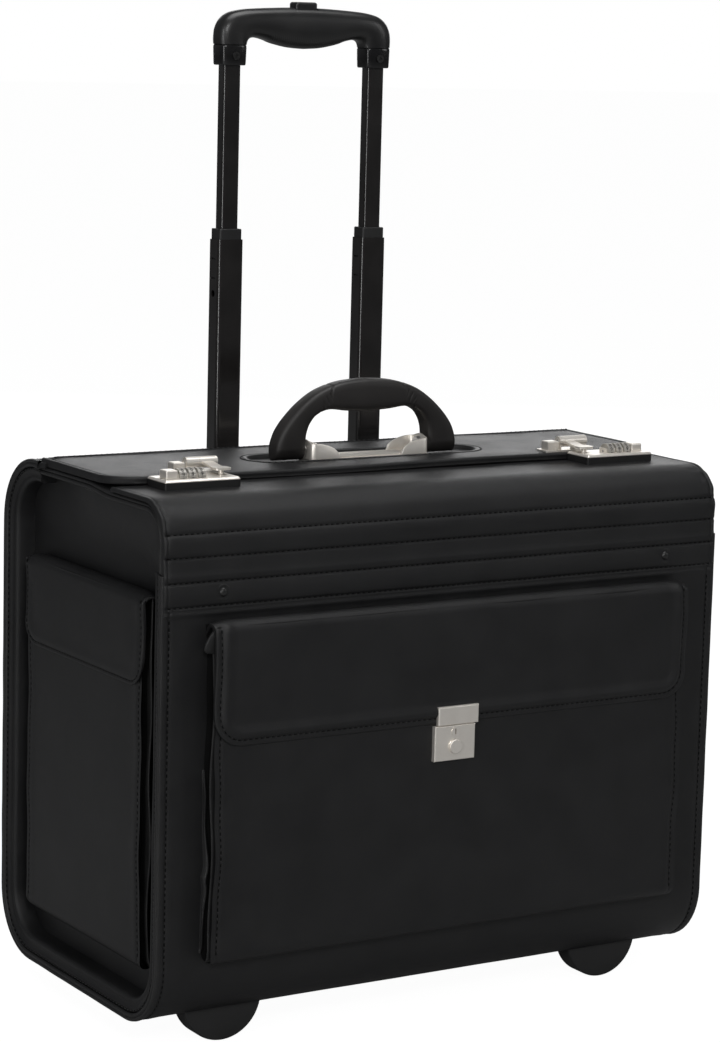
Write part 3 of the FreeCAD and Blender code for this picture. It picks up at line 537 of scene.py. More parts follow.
def side_edges():
    """Folded binding along each side edge and the padded roll that leads in to the side panel."""
    edge_path = case_path(EDGE_TOP_Z, 6.0)
    for side, sign in SIDES:
        def ripple(sample, sign=sign):
            along = sample[4]
            return sign * 0.22 * waver(along, 5.0 * sign, 30.0, 4.0), 0.18 * waver(along, 0, 45.0, 7.0)

        def roll_ripple(sample, sign=sign):
            return sign * 0.5 * waver(sample[4], 3.0 * sign, 55.0, 2.0), 0.0

        swept("edge_binding_" + side, edge_path, EDGE_PROFILE, EDGE_LEATHER_PAINTED_HIGHLIGHT, sign, ripple)
        roll = swept("side_roll_" + side, edge_path, ROLL_PROFILE, LEATHER, sign, roll_ripple)
        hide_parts("side_rim_" + side)
        run = [((sign * ROLL_STITCH[0], *inside(s, ROLL_STITCH[1])), (sign * 0.8, -0.6 * s[2], -0.6 * s[3]))
               for s in edge_path]
        column = [((sign * STITCH_X, *inside(s, 0.2)), (0, s[2], s[3]))
                  for s in case_path(STITCH_COLUMN_TOP, 6.0)]
        stitches("edge_stitches_" + side, [run, column], "case")


# ---- Side panels ----
def flap_path(front, arc_count, rear_y):
    """Outline from points (y, z) up the flap's front, round its corner and back along the top."""
    return joined(
        with_normal(front, (-1, 0)),
        arc_points((FLAP_R, TOP_Z - FLAP_R), FLAP_R, 180, 90, arc_count),
        with_normal(line_points((FLAP_R, TOP_Z), (rear_y, TOP_Z), 6.0), (0, 1)))


def side_bulge(y, z):
    """The side panel comes out to its bound edge at the top front and is recessed elsewhere."""
    rise = 1 - smooth(6.0, 64.0, corner_distance(y, TOP_Z - z, FLAP_R))
    return 14.0 * rise * smooth(334, 366, z) * (1 - 0.8 * smooth(110, 200, y))


def panel_limits(y):
    """Lowest and highest z of the side panel's leather at this depth."""
    to_back = DEPTH - y
    low_z = BASE_Z + PANEL_INSET + edge_round(min(y, to_back) - PANEL_INSET, LOWER_R - PANEL_INSET)
    if to_back < BACK_TOP_R:
        return low_z, BACK_TOP_Z - PANEL_INSET - edge_round(to_back - PANEL_INSET, BACK_TOP_R - PANEL_INSET)
    return low_z, TOP_Z - PANEL_TOP_INSET - edge_round(y - PANEL_TOP_INSET, FLAP_R - PANEL_TOP_INSET)


def side_panels():
    columns = [13.0, 13.6, 14.6, 16.2, 18.5, 21.5, 25.0] + spread(30, 227, 7.0) + [
        231, 234.5, 237.5, 239.8, 241.6, 243.0, 243.8]
    rows = 52
    bound_path = flap_path(line_points((0, EDGE_TOP_Z + 0.5), (0, TOP_Z - FLAP_R), 5.0), 14, 198.6)
    for side, sign in SIDES:
        sections = []
        for y in columns:
            low, high = panel_limits(y)
            front = []
            for i in range(rows + 1):
                z = low + (high - low) * i / rows
                x = PANEL_X + side_bulge(y, z) + 0.5 * waver(y, z, 60.0, 5.0 + sign)
                front.append((sign * x, y, z))
            sections.append(front + [(sign * PANEL_BACK_X, y, z) for z in (high, low)])
        panel = lofted("side_leather_" + side, sections, [LEATHER, LINING], body="case",
                       second=(rows, rows + 3))
        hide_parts("side_panel_" + side)

        def lift(sample, sign=sign):
            return sign * 0.25 * waver(sample[4], 2.0 * sign, 40.0, 8.0), -3.2 * smooth(84, 122, sample[0])

        swept("side_bound_edge_" + side, bound_path, BOUND_PROFILE, EDGE_LEATHER_PAINTED_HIGHLIGHT, sign, lift)


# ---- Flap leather over the front and top ----
def flap_profile():
    """Outer outline of the flap's leather from the band's lower edge to the rear edge."""
    band = spread(327.0, 352.0, 4.0, (*SEAM_ROWS[:2], 349.0), (0.6, 1.3, 2.4))
    rows = sorted({*band, *spread(352.0, TOP_Z - FLAP_R, 3.0, (SEAM_ROWS[2],))})
    return flap_path([(0, z) for z in rows], 30, FLAP_REAR_Y - 1.0)


def puff(z):
    """Padding between the seams that run across the front."""
    rise = 0.0
    for low, high, amount in zip(SEAM_ROWS, SEAM_ROWS[1:], PADDING):
        if low < z < high:
            rise += amount * math.sin(math.pi * (z - low) / (high - low)) ** 0.7
    return rise - 0.85 * sum(hill(z - row, 0.85) for row in SEAM_ROWS)


def flap_height(x, sample):
    y, z, along = sample[0], sample[1], sample[4]
    end = FLAP_HALF_X - abs(x)
    rise = 0.35 * smooth(346, 352, z) + 1.0 * (1 - smooth(350, 354, z))
    rise += 0.5 * waver(x, along, 70.0, 6.0) * smooth(0, 12, end) + 0.12 * waver(x, along, 16.0, 1.0)
    rise -= 0.8 * hill(end - 3.4, 0.7)
    if y < 18:
        rise += 0.9 * hill(z - 391, 7.0) * smooth(18, 3, y)
    if y < 20:
        rise += puff(z) * (1 - 0.35 * smooth(236, 239, abs(x)))
        rise -= hill(math.hypot(abs(x) - RIVET_X, z - RIVET_Z), 7.5)
        rise += 0.7 * waver(x, along, 5.5, 14.0) * smooth(222, 232, abs(x)) * smooth(358, 366, z)
    return rise - edge_round(end, 1.6)


def front_flap():
    outline = flap_profile()
    right_end = [224.5, 227.0, 229.5, 232.0, 234.0, 235.0, 235.8, 236.6, 237.2, 238.0, 238.6, FLAP_HALF_X]
    middle = spread(-222, 222, 8.0, (-RIVET_X, RIVET_X), (3.0, 6.0, 9.0))
    under = [(FLAP_R, TOP_Z - FLAP_SKIN)]
    for p in arc_points((FLAP_R, TOP_Z - FLAP_R), FLAP_R, 90, 180, 8)[1:]:
        under.append(inside(p, FLAP_SKIN))
    under += [(3, 356), (2.6, 351.2), (0.1, 350.4), (-0.15, 349), (-0.15, 346.5), (-0.15, 327.0)]
    sections = []
    for x in both_ends(right_end, middle):
        outer = [inside(sample, -flap_height(x, sample)) for sample in outline]
        end_drop = edge_round(FLAP_HALF_X - abs(x), 1.6)
        rear = [(FLAP_REAR_Y, TOP_Z - 0.8 - end_drop * 0.5), (FLAP_REAR_Y, TOP_Z - 2.4),
                (FLAP_REAR_Y - 0.6, TOP_Z - FLAP_SKIN)]
        sections.append([(x, y, z) for y, z in outer + rear + under])
    lining = (len(outline) + 2, len(sections[0]) - 6)
    flap = lofted("flap_leather", sections, [LEATHER, LINING], second=lining, sharp=60)
    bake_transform(flap)
    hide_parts("front_flap", "fold_band")
    for name, rows, body in (("band_stitches", SEAM_ROWS[:2], "case"),
                             ("flap_stitches", SEAM_ROWS[2:], "front_flap")):
        runs = []
        for row in rows:
            sample = min((s for s in outline if s[0] <= 20), key=lambda s: abs(s[1] - row))
            runs.append([((x, *inside(sample, -flap_height(x, sample) - 0.12)), (0, sample[2], sample[3]))
                         for x in spread(-236.5, 236.5, 8.0)])
        stitches(name, runs, body)


# ---- Lid ----
def lid_rise(x, y):
    d = corner_distance(LID_X - abs(x), y - LID_Y[0], LID_R)
    rise = 0.35 * hill(d - 1.8, 1.2) - 0.45 * hill(d - LID_SEAM, 0.7) - edge_round(max(d, 0.0), 1.2)
    rise += 0.5 * smooth(5.5, 14, d)
    return rise + 0.55 * waver(x, y, 75.0, 11.0) * smooth(4, 30, d) + 0.1 * waver(x, y, 18.0, 12.0)


def lid_sag(x, y):
    """The lid's front edge dips and lifts a little between the locks."""
    return 0.5 * math.sin(x / 47.0) * (1 - smooth(77, 120, y))


def lid():
    edge = [0.0, 0.35, 0.9, 1.8, 3.0, 4.4, 6.5, 9.5, 13.0, 17.5, 22.5, 28.0]
    right_end = [LID_X - e for e in reversed(edge)]
    insets = [0.0, 0.5, 1.2, 1.9, 2.7, 3.5, 4.2, 4.9, 5.8, 7.2, 9.5, 13.0]
    sections = []
    for x in both_ends(right_end, spread(-LID_X + 33, LID_X - 33, 8.0)):
        front = LID_Y[0] + edge_round(LID_X - abs(x), LID_R)
        span = LID_Y[1] - front
        ys = [front + i for i in insets] + [front + 13 + (span - 13) * k / 12 for k in range(1, 13)]
        top = [(x, y, LID_Z[1] + lid_rise(x, y) + lid_sag(x, y)) for y in ys]
        under = (LID_Y[1], front + span * 0.5, front + 4, front + 0.8)
        bottom = [(x, y, LID_Z[0] + lid_sag(x, y)) for y in under]
        lip = [(x, front + out, LID_Z[0] + up + lid_sag(x, front)) for out, up in LID_LIP]
        sections.append(top + bottom + lip)
    lid_piece = lofted("lid_leather", sections, [LEATHER, LINING], second=(len(ys), len(ys) + 2))
    cut(lid_piece, [loft([stadium(*RECESS, 406.4), stadium(*RECESS, 420.0)])])
    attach(lid_piece, "lid")
    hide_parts("lid_panel", "lid_binding")
    lid_stitches()
    recess_lip()


def lid_stitches():
    """A seam round the lid's sides and front, and one round the recess."""
    half = [(LID_X - LID_SEAM, y) for y in (LID_Y[1] - 3, 170, 140, LID_Y[0] + LID_R)]
    corner = arc_points((LID_X - LID_R, LID_Y[0] + LID_R), LID_R - LID_SEAM, 0, -90, 12)
    half += [p[:2] for p in corner[1:]]
    half.append((190, LID_Y[0] + LID_SEAM))
    front = [(x, LID_Y[0] + LID_SEAM) for x in range(170, -191, -20)]
    edge = half + front + [(-x, y) for x, y in reversed(half)]
    ring = [p[:2] for p in stadium(RECESS[0] + 4.5, RECESS[1] + 4.5, 0.0)]
    runs = [[((x, y, LID_Z[1] + lid_rise(x, y) + lid_sag(x, y) + 0.12), (0, 0, 1)) for x, y in edge],
            [((x, y, LID_Z[1] + lid_rise(x, y) + 0.05), (0, 0, 1)) for x, y in ring + ring[:1]]]
    stitches("lid_stitches", runs, "lid")


def stadium(half_x, half_y, z):
    """Closed outline with round ends about the handle's middle."""
    flat = half_x - half_y
    half = [p[:2] for p in arc_points((flat, 0), half_y, -90, 90, 14)]
    half += [(flat - flat * k / 6, half_y) for k in range(1, 12)]
    return [(sign * x, HANDLE_Y + sign * y, z) for sign in (1, -1) for x, y in half]


def recess_lip():
    """Turned leather lip round the shallow recess under the carry handle, and its floor."""
    lip = ((-1.2, 406.0), (-0.3, 408.6), (0.6, 409.6), (2.0, 409.9), (3.6, 409.6), (4.6, 409.0), (4.4, 408.0),
           (0.5, 406.2))
    rings = [stadium(RECESS[0] + grow, RECESS[1] + grow, z) for grow, z in lip]
    lofted("handle_recess_lip", rings, [EDGE_LEATHER_PAINTED_HIGHLIGHT], body="lid", ring=True)
    floor = [stadium(99.2, 19.7, 405.9), stadium(99.2, 19.7, 406.5), stadium(90.0, 15.0, 406.6)]
    lofted("handle_recess_floor", floor, [LEATHER], body="lid")


def lid_hinge():
    """Leather strip that joins the lid to the rolled back edge."""
    half_x, front, rear = 239.4, 188.0, 207.0
    sections = []
    for x in both_ends([237.0, 238.6, half_x], spread(-234, 234, 12.0)):
        top, bottom = [], []
        for y in spread(front, rear, 1.4):
            z = 409.6 - 2.7 * smooth(192, 204, y) + 0.35 * waver(x, y, 30.0, 2.0)
            z -= 3.5 * smooth(233, half_x, abs(x))
            end = min(half_x - abs(x), y - front, rear - y)
            top.append((x, y, z - edge_round(max(0.0, end), 0.6)))
            bottom.append((x, y, z - 1.3 - 3.0 * smooth(232, 237, abs(x))))
        sections.append(top + list(reversed(bottom)))
    strip = lofted("lid_hinge_leather", sections, [LEATHER])
    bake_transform(strip)
    for body, y, z in (("lid", 190.6, 409.75), ("case", 205.0, 407.05)):
        stitches("hinge_stitches_" + body, [[((x, y, z), (0, 0, 1)) for x in spread(-232, 232, 20.0)]], body)


# ---- Pockets ----
# A pocket's own coordinates are a across, b up and c out from its panel.
EDGE_STEPS = [0.0, 0.3, 0.8, 1.6, 2.6, 3.6, 4.5, 5.4, 6.6, 8.2, 10.5, 13.5, 17.5, 22.0]
POUCH_EDGE = [0.0, 0.7, 1.6, 2.8, 3.7, 4.5, 5.3, 6.4, 8.5, 12.0, 17.0]
POUCH_RISE = [0.0, 0.25, 0.8, 1.6, 2.8, 4.4, 6.5, 9.0, 12.0, 16.0]
POCKET_DEPTH = 14.0
SIDE_POCKET_Y = 127.5
FLAP_BEND = 6.5           # radius of a flap's turn from its face to the panel
PLY = 1.8                 # thickness of a flap


def front_place(a, b, c):
    return (a, -c, b)


def side_place(sign):
    def at(a, b, c):
        return (sign * (PANEL_X + c), SIDE_POCKET_Y + a, b)
    return at


def outward(at):
    return Vector(at(0, 0, 1)) - Vector(at(0, 0, 0))


def across_columns(half, edge, gap, step):
    """Positions across a pocket, dense at both side edges."""
    return both_ends([half - e for e in reversed(edge)], spread(-half + gap, half - gap, step))


def pocket_flap(name, at, half, z, radius, body, node, seam, ridge, swell, seed):
    """Leather flap sewn to the panel in a crease, that bulges out of it and hangs over the pocket."""
    low, high = z
    front = POCKET_DEPTH + 1.9

    def face_c(a, b):
        """How far out the flap's face lies: seam, ridge beside it, swell, and wavy free side edges."""
        d = corner_distance(half - abs(a), b - low, radius)
        rise = ridge * hill(d - seam - 4.5, 3.4) - 0.6 * hill(d - seam, 0.8)
        rise += 0.25 * hill(d - 1.8, 1.2) - edge_round(max(d, 0.0), 0.9)
        hump = swell * math.sin(math.pi * min(1.0, max(0.0, (b - low) / (high - low)))) ** 0.8
        rise += hump * smooth(0, 30, half - abs(a)) + 0.5 * waver(a, b, 45.0, seed) * smooth(2, 14, d)
        return front + rise + sway(a, b)

    def sway(a, b):
        end = smooth(half - 26, half, abs(a))
        return end * (0.7 * math.sin(b / 9.5 + seed) + 0.5 * waver(b, a, 14.0, seed))

    sections = []
    for a in across_columns(half, EDGE_STEPS, 28, 8.0):
        bottom = low + edge_round(half - abs(a), radius)
        tall = high - FLAP_BEND - bottom
        levels = [bottom + s for s in EDGE_STEPS if s < tall * 0.6]
        missing = len(EDGE_STEPS) - len(levels)
        gap = tall * 0.62 - (levels[-1] - bottom)
        levels += [levels[-1] + gap * (k + 1) / (missing + 1) for k in range(missing)]
        levels += [bottom + tall * (0.62 + 0.38 * k / 8) for k in range(9)]
        top_c = face_c(a, levels[-1])
        drop = PLY * hill(half - abs(a), 6.0)

        def turned(k, size, c, share, a=a, drop=drop):
            """Point on the turn to the panel, k eighths of a right angle round it."""
            angle = math.radians(90 * k / 8)
            b = high - FLAP_BEND + (size - drop) * math.sin(angle)
            return (a, b, c * (1 - (1 - math.cos(angle)) * share))

        loop = [(a, b, face_c(a, b)) for b in levels]
        loop += [turned(k, FLAP_BEND + 1.5, top_c, 0.62) for k in range(1, 9)]
        loop += [(a, high + 0.2 - drop, top_c * 0.30), (a, high - 3.6, top_c * 0.15), (a, high - 6.4, 0.9),
                 (a, high - 7.4, 0.15), (a, high - 9.4, 0.15), (a, high - 8.6, 1.9),
                 (a, high - 5.6, top_c * 0.15 + 1.5), (a, high - 1.6 - drop, top_c * 0.34 + 0.6)]
        loop += [turned(k, FLAP_BEND - 0.6, top_c - PLY, 0.55) for k in (6, 4, 2, 0)]
        loop += [(a, b, face_c(a, b) - PLY) for b in (levels[14], levels[7], levels[2])]
        loop.append((a, bottom + 0.1, front - 1.1 + sway(a, bottom)))
        sections.append([at(*p) for p in loop])
    flap = lofted(name, sections, [LEATHER], sharp=65)
    place(at(0, high, 1.0))
    place(at(0, high, 6.5))
    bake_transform(flap)
    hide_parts(node)

    edge = [(-half + seam, b) for b in reversed(spread(low + radius, high - 3.0, 5.0))]
    edge += [p[:2] for p in arc_points((-half + radius, low + radius), radius - seam, 180, 270, 12)[1:-1]]
    line = edge + [(a, low + seam) for a in spread(-half + radius, half - radius, 8.0)]
    line += [(-a, b) for a, b in reversed(edge)]
    stitches(name + "_stitches", [[(at(a, b, face_c(a, b) + 0.1), outward(at)) for a, b in line]], body)


def pocket_pouch(name, at, half, z, radius, node, seam, seed, pull, flange_top):
    """Pouch with a flat face, pleated side gussets and rounded lower corners."""
    low, high = z
    shares = [a / half for a in across_columns(half, POUCH_EDGE, 24, 9.0)]
    levels = [low + r for r in POUCH_RISE] + spread(low + 22, high, 7.0)

    def waved(b, side):
        return (0.9 * math.sin(b / 21.0 + seed + side) + 0.5 * math.sin(b / 8.3 + seed * 2 + side)
                + pull * math.sin(math.pi * (b - low) / (high - low)) * (1 if side < 0 else 0.3))

    def deep(b):
        t = min(1.0, (b - low) / 10.0)
        return POCKET_DEPTH * math.sqrt(max(0.0, 1 - (1 - t) ** 2))

    def face_point(share, b):
        w = half - edge_round(b - low, radius)
        a = share * w
        edge_d = w - abs(a)
        move = waved(b, -1 if a < 0 else 1) * smooth(40, 0, edge_d) * smooth(0, 30, b - low)
        d = min(edge_d, b - low)
        rise = 0.5 * (hill(edge_d - seam - 4, 3.0) - hill(edge_d - seam, 0.8))
        rise += 0.8 * smooth(4, 60, d) + 0.6 * waver(a, b, 55.0, seed) * smooth(3, 20, d)
        return a + (move if a < 0 else -move), b, deep(b) + rise * smooth(0, 12, b - low)

    sections = []
    for b in levels:
        w, c = half - edge_round(b - low, radius), deep(b)
        lift = smooth(0, 30, b - low)
        left_wave, right_wave = (0.8 * waved(b + 9, side) * lift for side in (-1, 1))
        fold = 16.0 * c / POCKET_DEPTH
        face = [face_point(s, b) for s in shares]
        back_face = [(p[0] * (1 - 1.6 / half), b, max(0.25, p[2] - 1.5)) for p in face]
        loop = [(-w + left_wave - 0.4, b, 0.3), (-w + fold, b, c * 0.38), (-w + fold, b, c * 0.55), *face,
                (w - fold, b, c * 0.55), (w - fold, b, c * 0.38), (w - right_wave + 0.4, b, 0.3),
                (w - 2.0 - right_wave, b, 0.12), (w - fold - 1.8, b, c * 0.38), (w - fold - 1.8, b, c * 0.55),
                *reversed(back_face), (-w + fold + 1.8, b, c * 0.55), (-w + fold + 1.8, b, c * 0.38),
                (-w + 2.0 + left_wave, b, 0.12)]
        sections.append([at(*p) for p in loop])
    points, faces = loft(sections)
    # The gussets and the back of the pouch take the near-black material: painted shade in the folds.
    face_slots = [0 if 3 <= j % len(sections[0]) < 2 + len(shares) else 1 for j in range(len(faces))]
    pouch = piece(name, points, faces, [LEATHER, GUSSET_PAINTED_SHADE], "leather", "case", face_slots, 45)
    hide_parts(node)
    runs = []
    for side in (-1, 1):
        run = []
        for b in spread(low + radius, high - 4, 6.0):
            w = half - edge_round(b - low, radius)
            a, b, c = face_point(side * (w - seam) / w, b)
            run.append((at(a, b, c + 0.1), outward(at)))
        runs.append(run)
    stitches(name + "_stitches", runs, "case")
    for side, label in ((-1, "a"), (1, "b")):
        flange(name + "_flange_" + label, at, side, half, (low + 9.0, flange_top), waved)
        pleat(name + "_pleat_" + label, at, side, half, (low + 3.0, high - 1.0))


def flange(name, at, side, half, z, waved):
    """Turned edge of a gusset where it is sewn to the panel, wavy and standing up a little."""
    sections = []
    for b in spread(*z, 4.0):
        end = smooth(z[0], z[0] + 6, b) * smooth(z[1], z[1] - 24, b)
        kink = 1.9 * hill(b - z[0] - 54, 5.5)
        middle = side * (half + 0.4 + kink - 0.8 * waved(b + 9, side))
        tall = 1.0 + end * (2.0 + 0.9 * math.sin(b / 12.0 + half))
        lean = -side * 0.8 * math.sin(b / 17.0 + half)
        profile = ((-0.8, 0.1), (-0.9, tall * 0.5), (-0.7 + lean, tall), (0.0 + lean, tall + 0.35),
                   (0.7 + lean, tall), (0.9, tall * 0.5), (1.6, 0.1))
        sections.append([at(middle + side * a, b, c) for a, c in profile])
    lofted(name, sections, [EDGE_LEATHER_PAINTED_HIGHLIGHT], body="case", sharp=70)


def pleat(name, at, side, half, z):
    """Fold of a gusset that comes forward between the panel and the pouch's face."""
    profile = ((13.0, -0.5), (5.0, -0.6), (1.5, -0.9), (0.4, -0.6), (0.0, 0.0), (0.4, 0.6), (1.5, 0.9),
               (5.0, 0.6), (13.0, 0.5))
    sections = []
    for b in spread(*z, 4.0):
        level = POCKET_DEPTH * (0.46 + 0.05 * math.sin(b / 14.0 + half)) * smooth(z[0] - 9, z[0] + 8, b)
        out = side * (half - 1.6 + 0.9 * math.sin(b / 19.0 + half * side))
        sections.append([at(out - side * a, b, level + c) for a, c in profile])
    lofted(name, sections, [EDGE_LEATHER_PAINTED_HIGHLIGHT], body="case", sharp=70)


def gusset_ear(name, side):
    """Folded top end of a front gusset that sticks out a little beside the pocket flap."""
    sections = []
    for b, reach, level in ((313.0, 0.5, 9.0), (310.5, 2.2, 8.6), (307.0, 4.3, 8.0), (303.0, 6.0, 7.4),
                            (299.5, 6.6, 7.0), (297.5, 5.6, 6.8), (296.5, 3.4, 6.8)):
        edge = side * (203.4 + reach)
        loop = ((-reach - 1.6, 2.2), (-1.4, 1.3), (-0.4, 0.8), (0.0, 0.0), (-0.4, -0.8), (-1.4, -0.5),
                (-reach - 1.6, 0.6))
        sections.append([front_place(edge + side * a, b, level + c) for a, c in loop])
    lofted(name, sections, [EDGE_LEATHER_PAINTED_HIGHLIGHT], body="case", sharp=70)


def pockets():
    pocket_pouch("front_pouch", front_place, 204.0, (70.0, 316.0), 9.0, "front_pocket", 4.6, 1.7, 1.2, 212.0)
    pocket_flap("front_pocket_flap_leather", front_place, 204.8, (230.0, 318.0), 22.0, "pocket_flap",
                "front_pocket_flap", 4.5, 2.5, 0.8, 2.3)
    for side, sign in SIDES:
        gusset_ear("front_gusset_ear_" + side, sign)
    for side, sign in SIDES:
        at = side_place(sign)
        pocket_pouch("side_pouch_" + side, at, 94.5, (58.0, 331.0), 11.0, "side_pocket_" + side, 4.0,
                     3.1 + sign, 3.0, 329.0)
        pocket_flap("side_pocket_flap_leather_" + side, at, 95.2, (266.0, 333.0), 19.0, "side_flap_" + side,
                    "side_pocket_flap_" + side, 2.8, 0.4, 0.5, 5.1 + sign)


# ---- Hardware details ----
DIAL_X = (194.5, 187.0, 179.5)
DIAL_Y, DIAL_Z = 61.0, 411.2
DIGIT_R, DIGIT_SIZE = 5.9, 4.2


def digit_mesh(digit):
    """Flat mesh of one digit."""
    curve = bpy.data.curves.new("digit", "FONT")
    curve.body = str(digit)
    curve.size = DIGIT_SIZE * MM
    curve.extrude = 0.04 * MM
    curve.align_x = "CENTER"
    curve.align_y = "CENTER"
    text = linked("digit", curve)
    bpy.context.view_layer.update()
    mesh = bpy.data.meshes.new_from_object(text)
    bpy.data.objects.remove(text)
    return mesh


def dial_numerals():
    """Raised digits round each dial."""
    meshes = [digit_mesh(digit) for digit in range(10)]
    for side, sign in SIDES:
        for index, x in enumerate(DIAL_X):
            digits = []
            for digit, mesh in enumerate(meshes):
                angle = math.radians(36 * digit + 54)
                out = Vector((0, -math.cos(angle), math.sin(angle)))
                up = Vector((0, math.sin(angle), math.cos(angle)))
                centre = Vector((sign * x, DIAL_Y, DIAL_Z))
                points = []
                for vertex in mesh.vertices:
                    co = vertex.co / MM
                    points.append(centre + Vector((co.x, 0, 0)) + up * co.y + out * (DIGIT_R + co.z))
                digits.append((points, [tuple(polygon.vertices) for polygon in mesh.polygons]))
            dial = "%d_%s" % (index + 1, side)
            piece("numerals_" + dial, *together(*digits), [NUMERAL], "dial_plastic", "dial_" + dial)


GRIP_Y = 234.5
GRIP_HALF_Y = 10.5
GRIP_TOP = ((77.0, 714.0), (77.3, 720.0), (76.4, 727.0), (73.0, 733.5), (66.5, 738.4), (56.0, 741.0),
            (44.0, 742.2), (30.0, 743.0), (15.0, 743.6), (0.0, 743.8))
GRIP_UNDER = ((51.8, 714.0), (51.2, 716.5), (50.0, 718.4), (47.8, 719.6), (44.5, 720.0), (40.5, 719.6),
              (35.5, 718.4), (27.0, 715.8), (14.0, 713.3), (0.0, 712.4))
GRIP_PARTS = (6, 6, 6, 6, 8, 10, 40, 60, 60)
RIB_PITCH = 1.7
BUTTON_WELL = ((-10.4, 10.4), (228.1, 240.9), (730, 752))
SLEEVE_X = 64.4
SLEEVE_RINGS = ((714.6, 10.9, 9.4), (713.6, 11.5, 9.9), (712.4, 11.6, 10.0), (706.0, 11.4, 9.9),
                (700.2, 11.2, 9.7), (699.0, 10.9, 9.4), (698.7, 10.2, 8.7))


def smooth_run(points, parts):
    """Catmull-Rom curve through points, with the given number of parts in each span."""
    found = []
    for i in range(len(points) - 1):
        a, b, c, d = (points[min(max(k, 0), len(points) - 1)] for k in range(i - 1, i + 3))
        for k in range(parts[i]):
            t = k / parts[i]
            found.append(tuple(0.5 * (2 * q + (r - p) * t + (2 * p - 5 * q + 4 * r - w) * t ** 2
                                      + (3 * q - p - 3 * r + w) * t ** 3) for p, q, r, w in zip(a, b, c, d)))
    return found + [points[-1]]


def mirrored(stations):
    """Stations of (outer point, inner point, ...) up to the middle, and their mirror images after it."""
    return stations + [((-u[0], u[1]), (-v[0], v[1]), *rest) for u, v, *rest in reversed(stations[:-1])]


def oval(u, v, y, half_y, scale=1.0, count=40, power=2.6, ribs=0.0):
    """Rounded section between two points of an outline, round the depth y."""
    points = []
    for k in range(count):
        angle = 2 * math.pi * k / count
        along = math.copysign(abs(math.sin(angle)) ** (2 / power), math.sin(angle))
        across = math.copysign(abs(math.cos(angle)) ** (2 / power), math.cos(angle))
        grow = along * scale * (1 + ribs * smooth(0.2, -0.3, along))
        points.append(((u[0] + v[0]) / 2 + (u[0] - v[0]) / 2 * grow, y + half_y * across,
                       (u[1] + v[1]) / 2 + (u[1] - v[1]) / 2 * grow))
    return points


def grip():
    """Moulded hand grip: a ribbed arch, and a glossy sleeve round each upper tube."""
    pairs = mirrored(list(zip(smooth_run(GRIP_TOP, GRIP_PARTS), smooth_run(GRIP_UNDER, GRIP_PARTS))))
    sections = []
    for index, (u, v) in enumerate(pairs):
        ribs = 0.02 * math.sin(2 * math.pi * v[0] / RIB_PITCH) * smooth(34, 31, abs(v[0]))
        end = smooth(0, 2, min(index, len(pairs) - 1 - index) + 1.2)
        sections.append(oval(u, v, GRIP_Y, GRIP_HALF_Y * end, end, ribs=ribs))
    arch = lofted("grip_arch", sections, [GRIP_PLASTIC], "grip_plastic", sharp=60)
    cut(arch, [block(*BUTTON_WELL)])
    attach(arch, "trolley_upper")
    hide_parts("grip")
    for side, sign in SIDES:
        middle = sign * SLEEVE_X
        rings = [oval((middle + half_x, z), (middle - half_x, z), GRIP_Y, half_y, count=32, power=4.0)
                 for z, half_x, half_y in SLEEVE_RINGS]
        lofted("grip_sleeve_" + side, rings, [GLOSS_PLASTIC], "grip_plastic", "trolley_upper")


HANDLE_Z = 416.0          # pivot
HANDLE_HALF_Y = 8.7
HANDLE_FOOT_R = 8.5
HANDLE_OUTER = ((80.3, 416.0), (79.2, 421.5), (75.5, 430.0), (68.0, 439.5), (56.0, 450.5), (41.5, 459.5),
                (22.0, 465.3), (0.0, 467.0))
HANDLE_INNER = ((54.0, 416.0), (53.9, 421.5), (53.2, 428.0), (50.5, 435.0), (45.0, 441.0), (34.0, 444.6),
                (18.0, 443.0), (0.0, 442.0))
HANDLE_PARTS = (4, 6, 8, 10, 34, 40, 12)
HANDLE_SEAM = ((31.0, 463.5), (42.5, 442.0))


def from_seam(x, z):
    """Distance in the front view from the moulding's parting line, which slants across each shoulder."""
    (x0, z0), (x1, z1) = HANDLE_SEAM
    return ((abs(x) - x0) * (z1 - z0) - (z - z0) * (x1 - x0)) / math.hypot(x1 - x0, z1 - z0)


def carry_handle():
    """Moulded arch with flat faces, rounded feet and a parting line across each shoulder."""
    stations = []
    for drop in (8.45, 8.2, 7.6, 6.6, 5.0, 3.0, 1.4):
        half_y = math.sqrt(HANDLE_FOOT_R ** 2 - drop ** 2)
        outer_x = HANDLE_OUTER[0][0] + 0.6 - 0.07 * (HANDLE_FOOT_R - drop)
        stations.append(((outer_x, HANDLE_Z - drop), (HANDLE_INNER[0][0], HANDLE_Z - drop), half_y))
    for u, v in zip(smooth_run(HANDLE_OUTER, HANDLE_PARTS), smooth_run(HANDLE_INNER, HANDLE_PARTS)):
        stations.append((u, v, HANDLE_HALF_Y))
    sections = []
    for u, v, half_y in mirrored(stations):
        middle_z = (u[1] + v[1]) / 2
        section = []
        for x, y, z in oval(u, v, 0.0, half_y, count=36, power=4.2):
            pinch = 1 - 0.12 * hill(from_seam(x, z), 0.5)
            section.append((x, HANDLE_Y + y * pinch, middle_z + (z - middle_z) * (pinch * 0.5 + 0.5)))
        sections.append(section)
    arch = lofted("handle_arch", sections, [HANDLE_PLASTIC], "black_plastic", "carry_handle", sharp=60)
    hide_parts("carry_handle")


PLATE_X, PLATE_Y = 52.0, 12.0         # half sizes of the plate between the handle's feet
PLATE_Z = 406.2                       # its underside
PLATE_CORNER = 4.0
RIBS_X, RIBS_Y = 34.0, 10.0           # half sizes of its ribbed middle
PLATE_RIB_PITCH = 2.5
WALL = 1.6


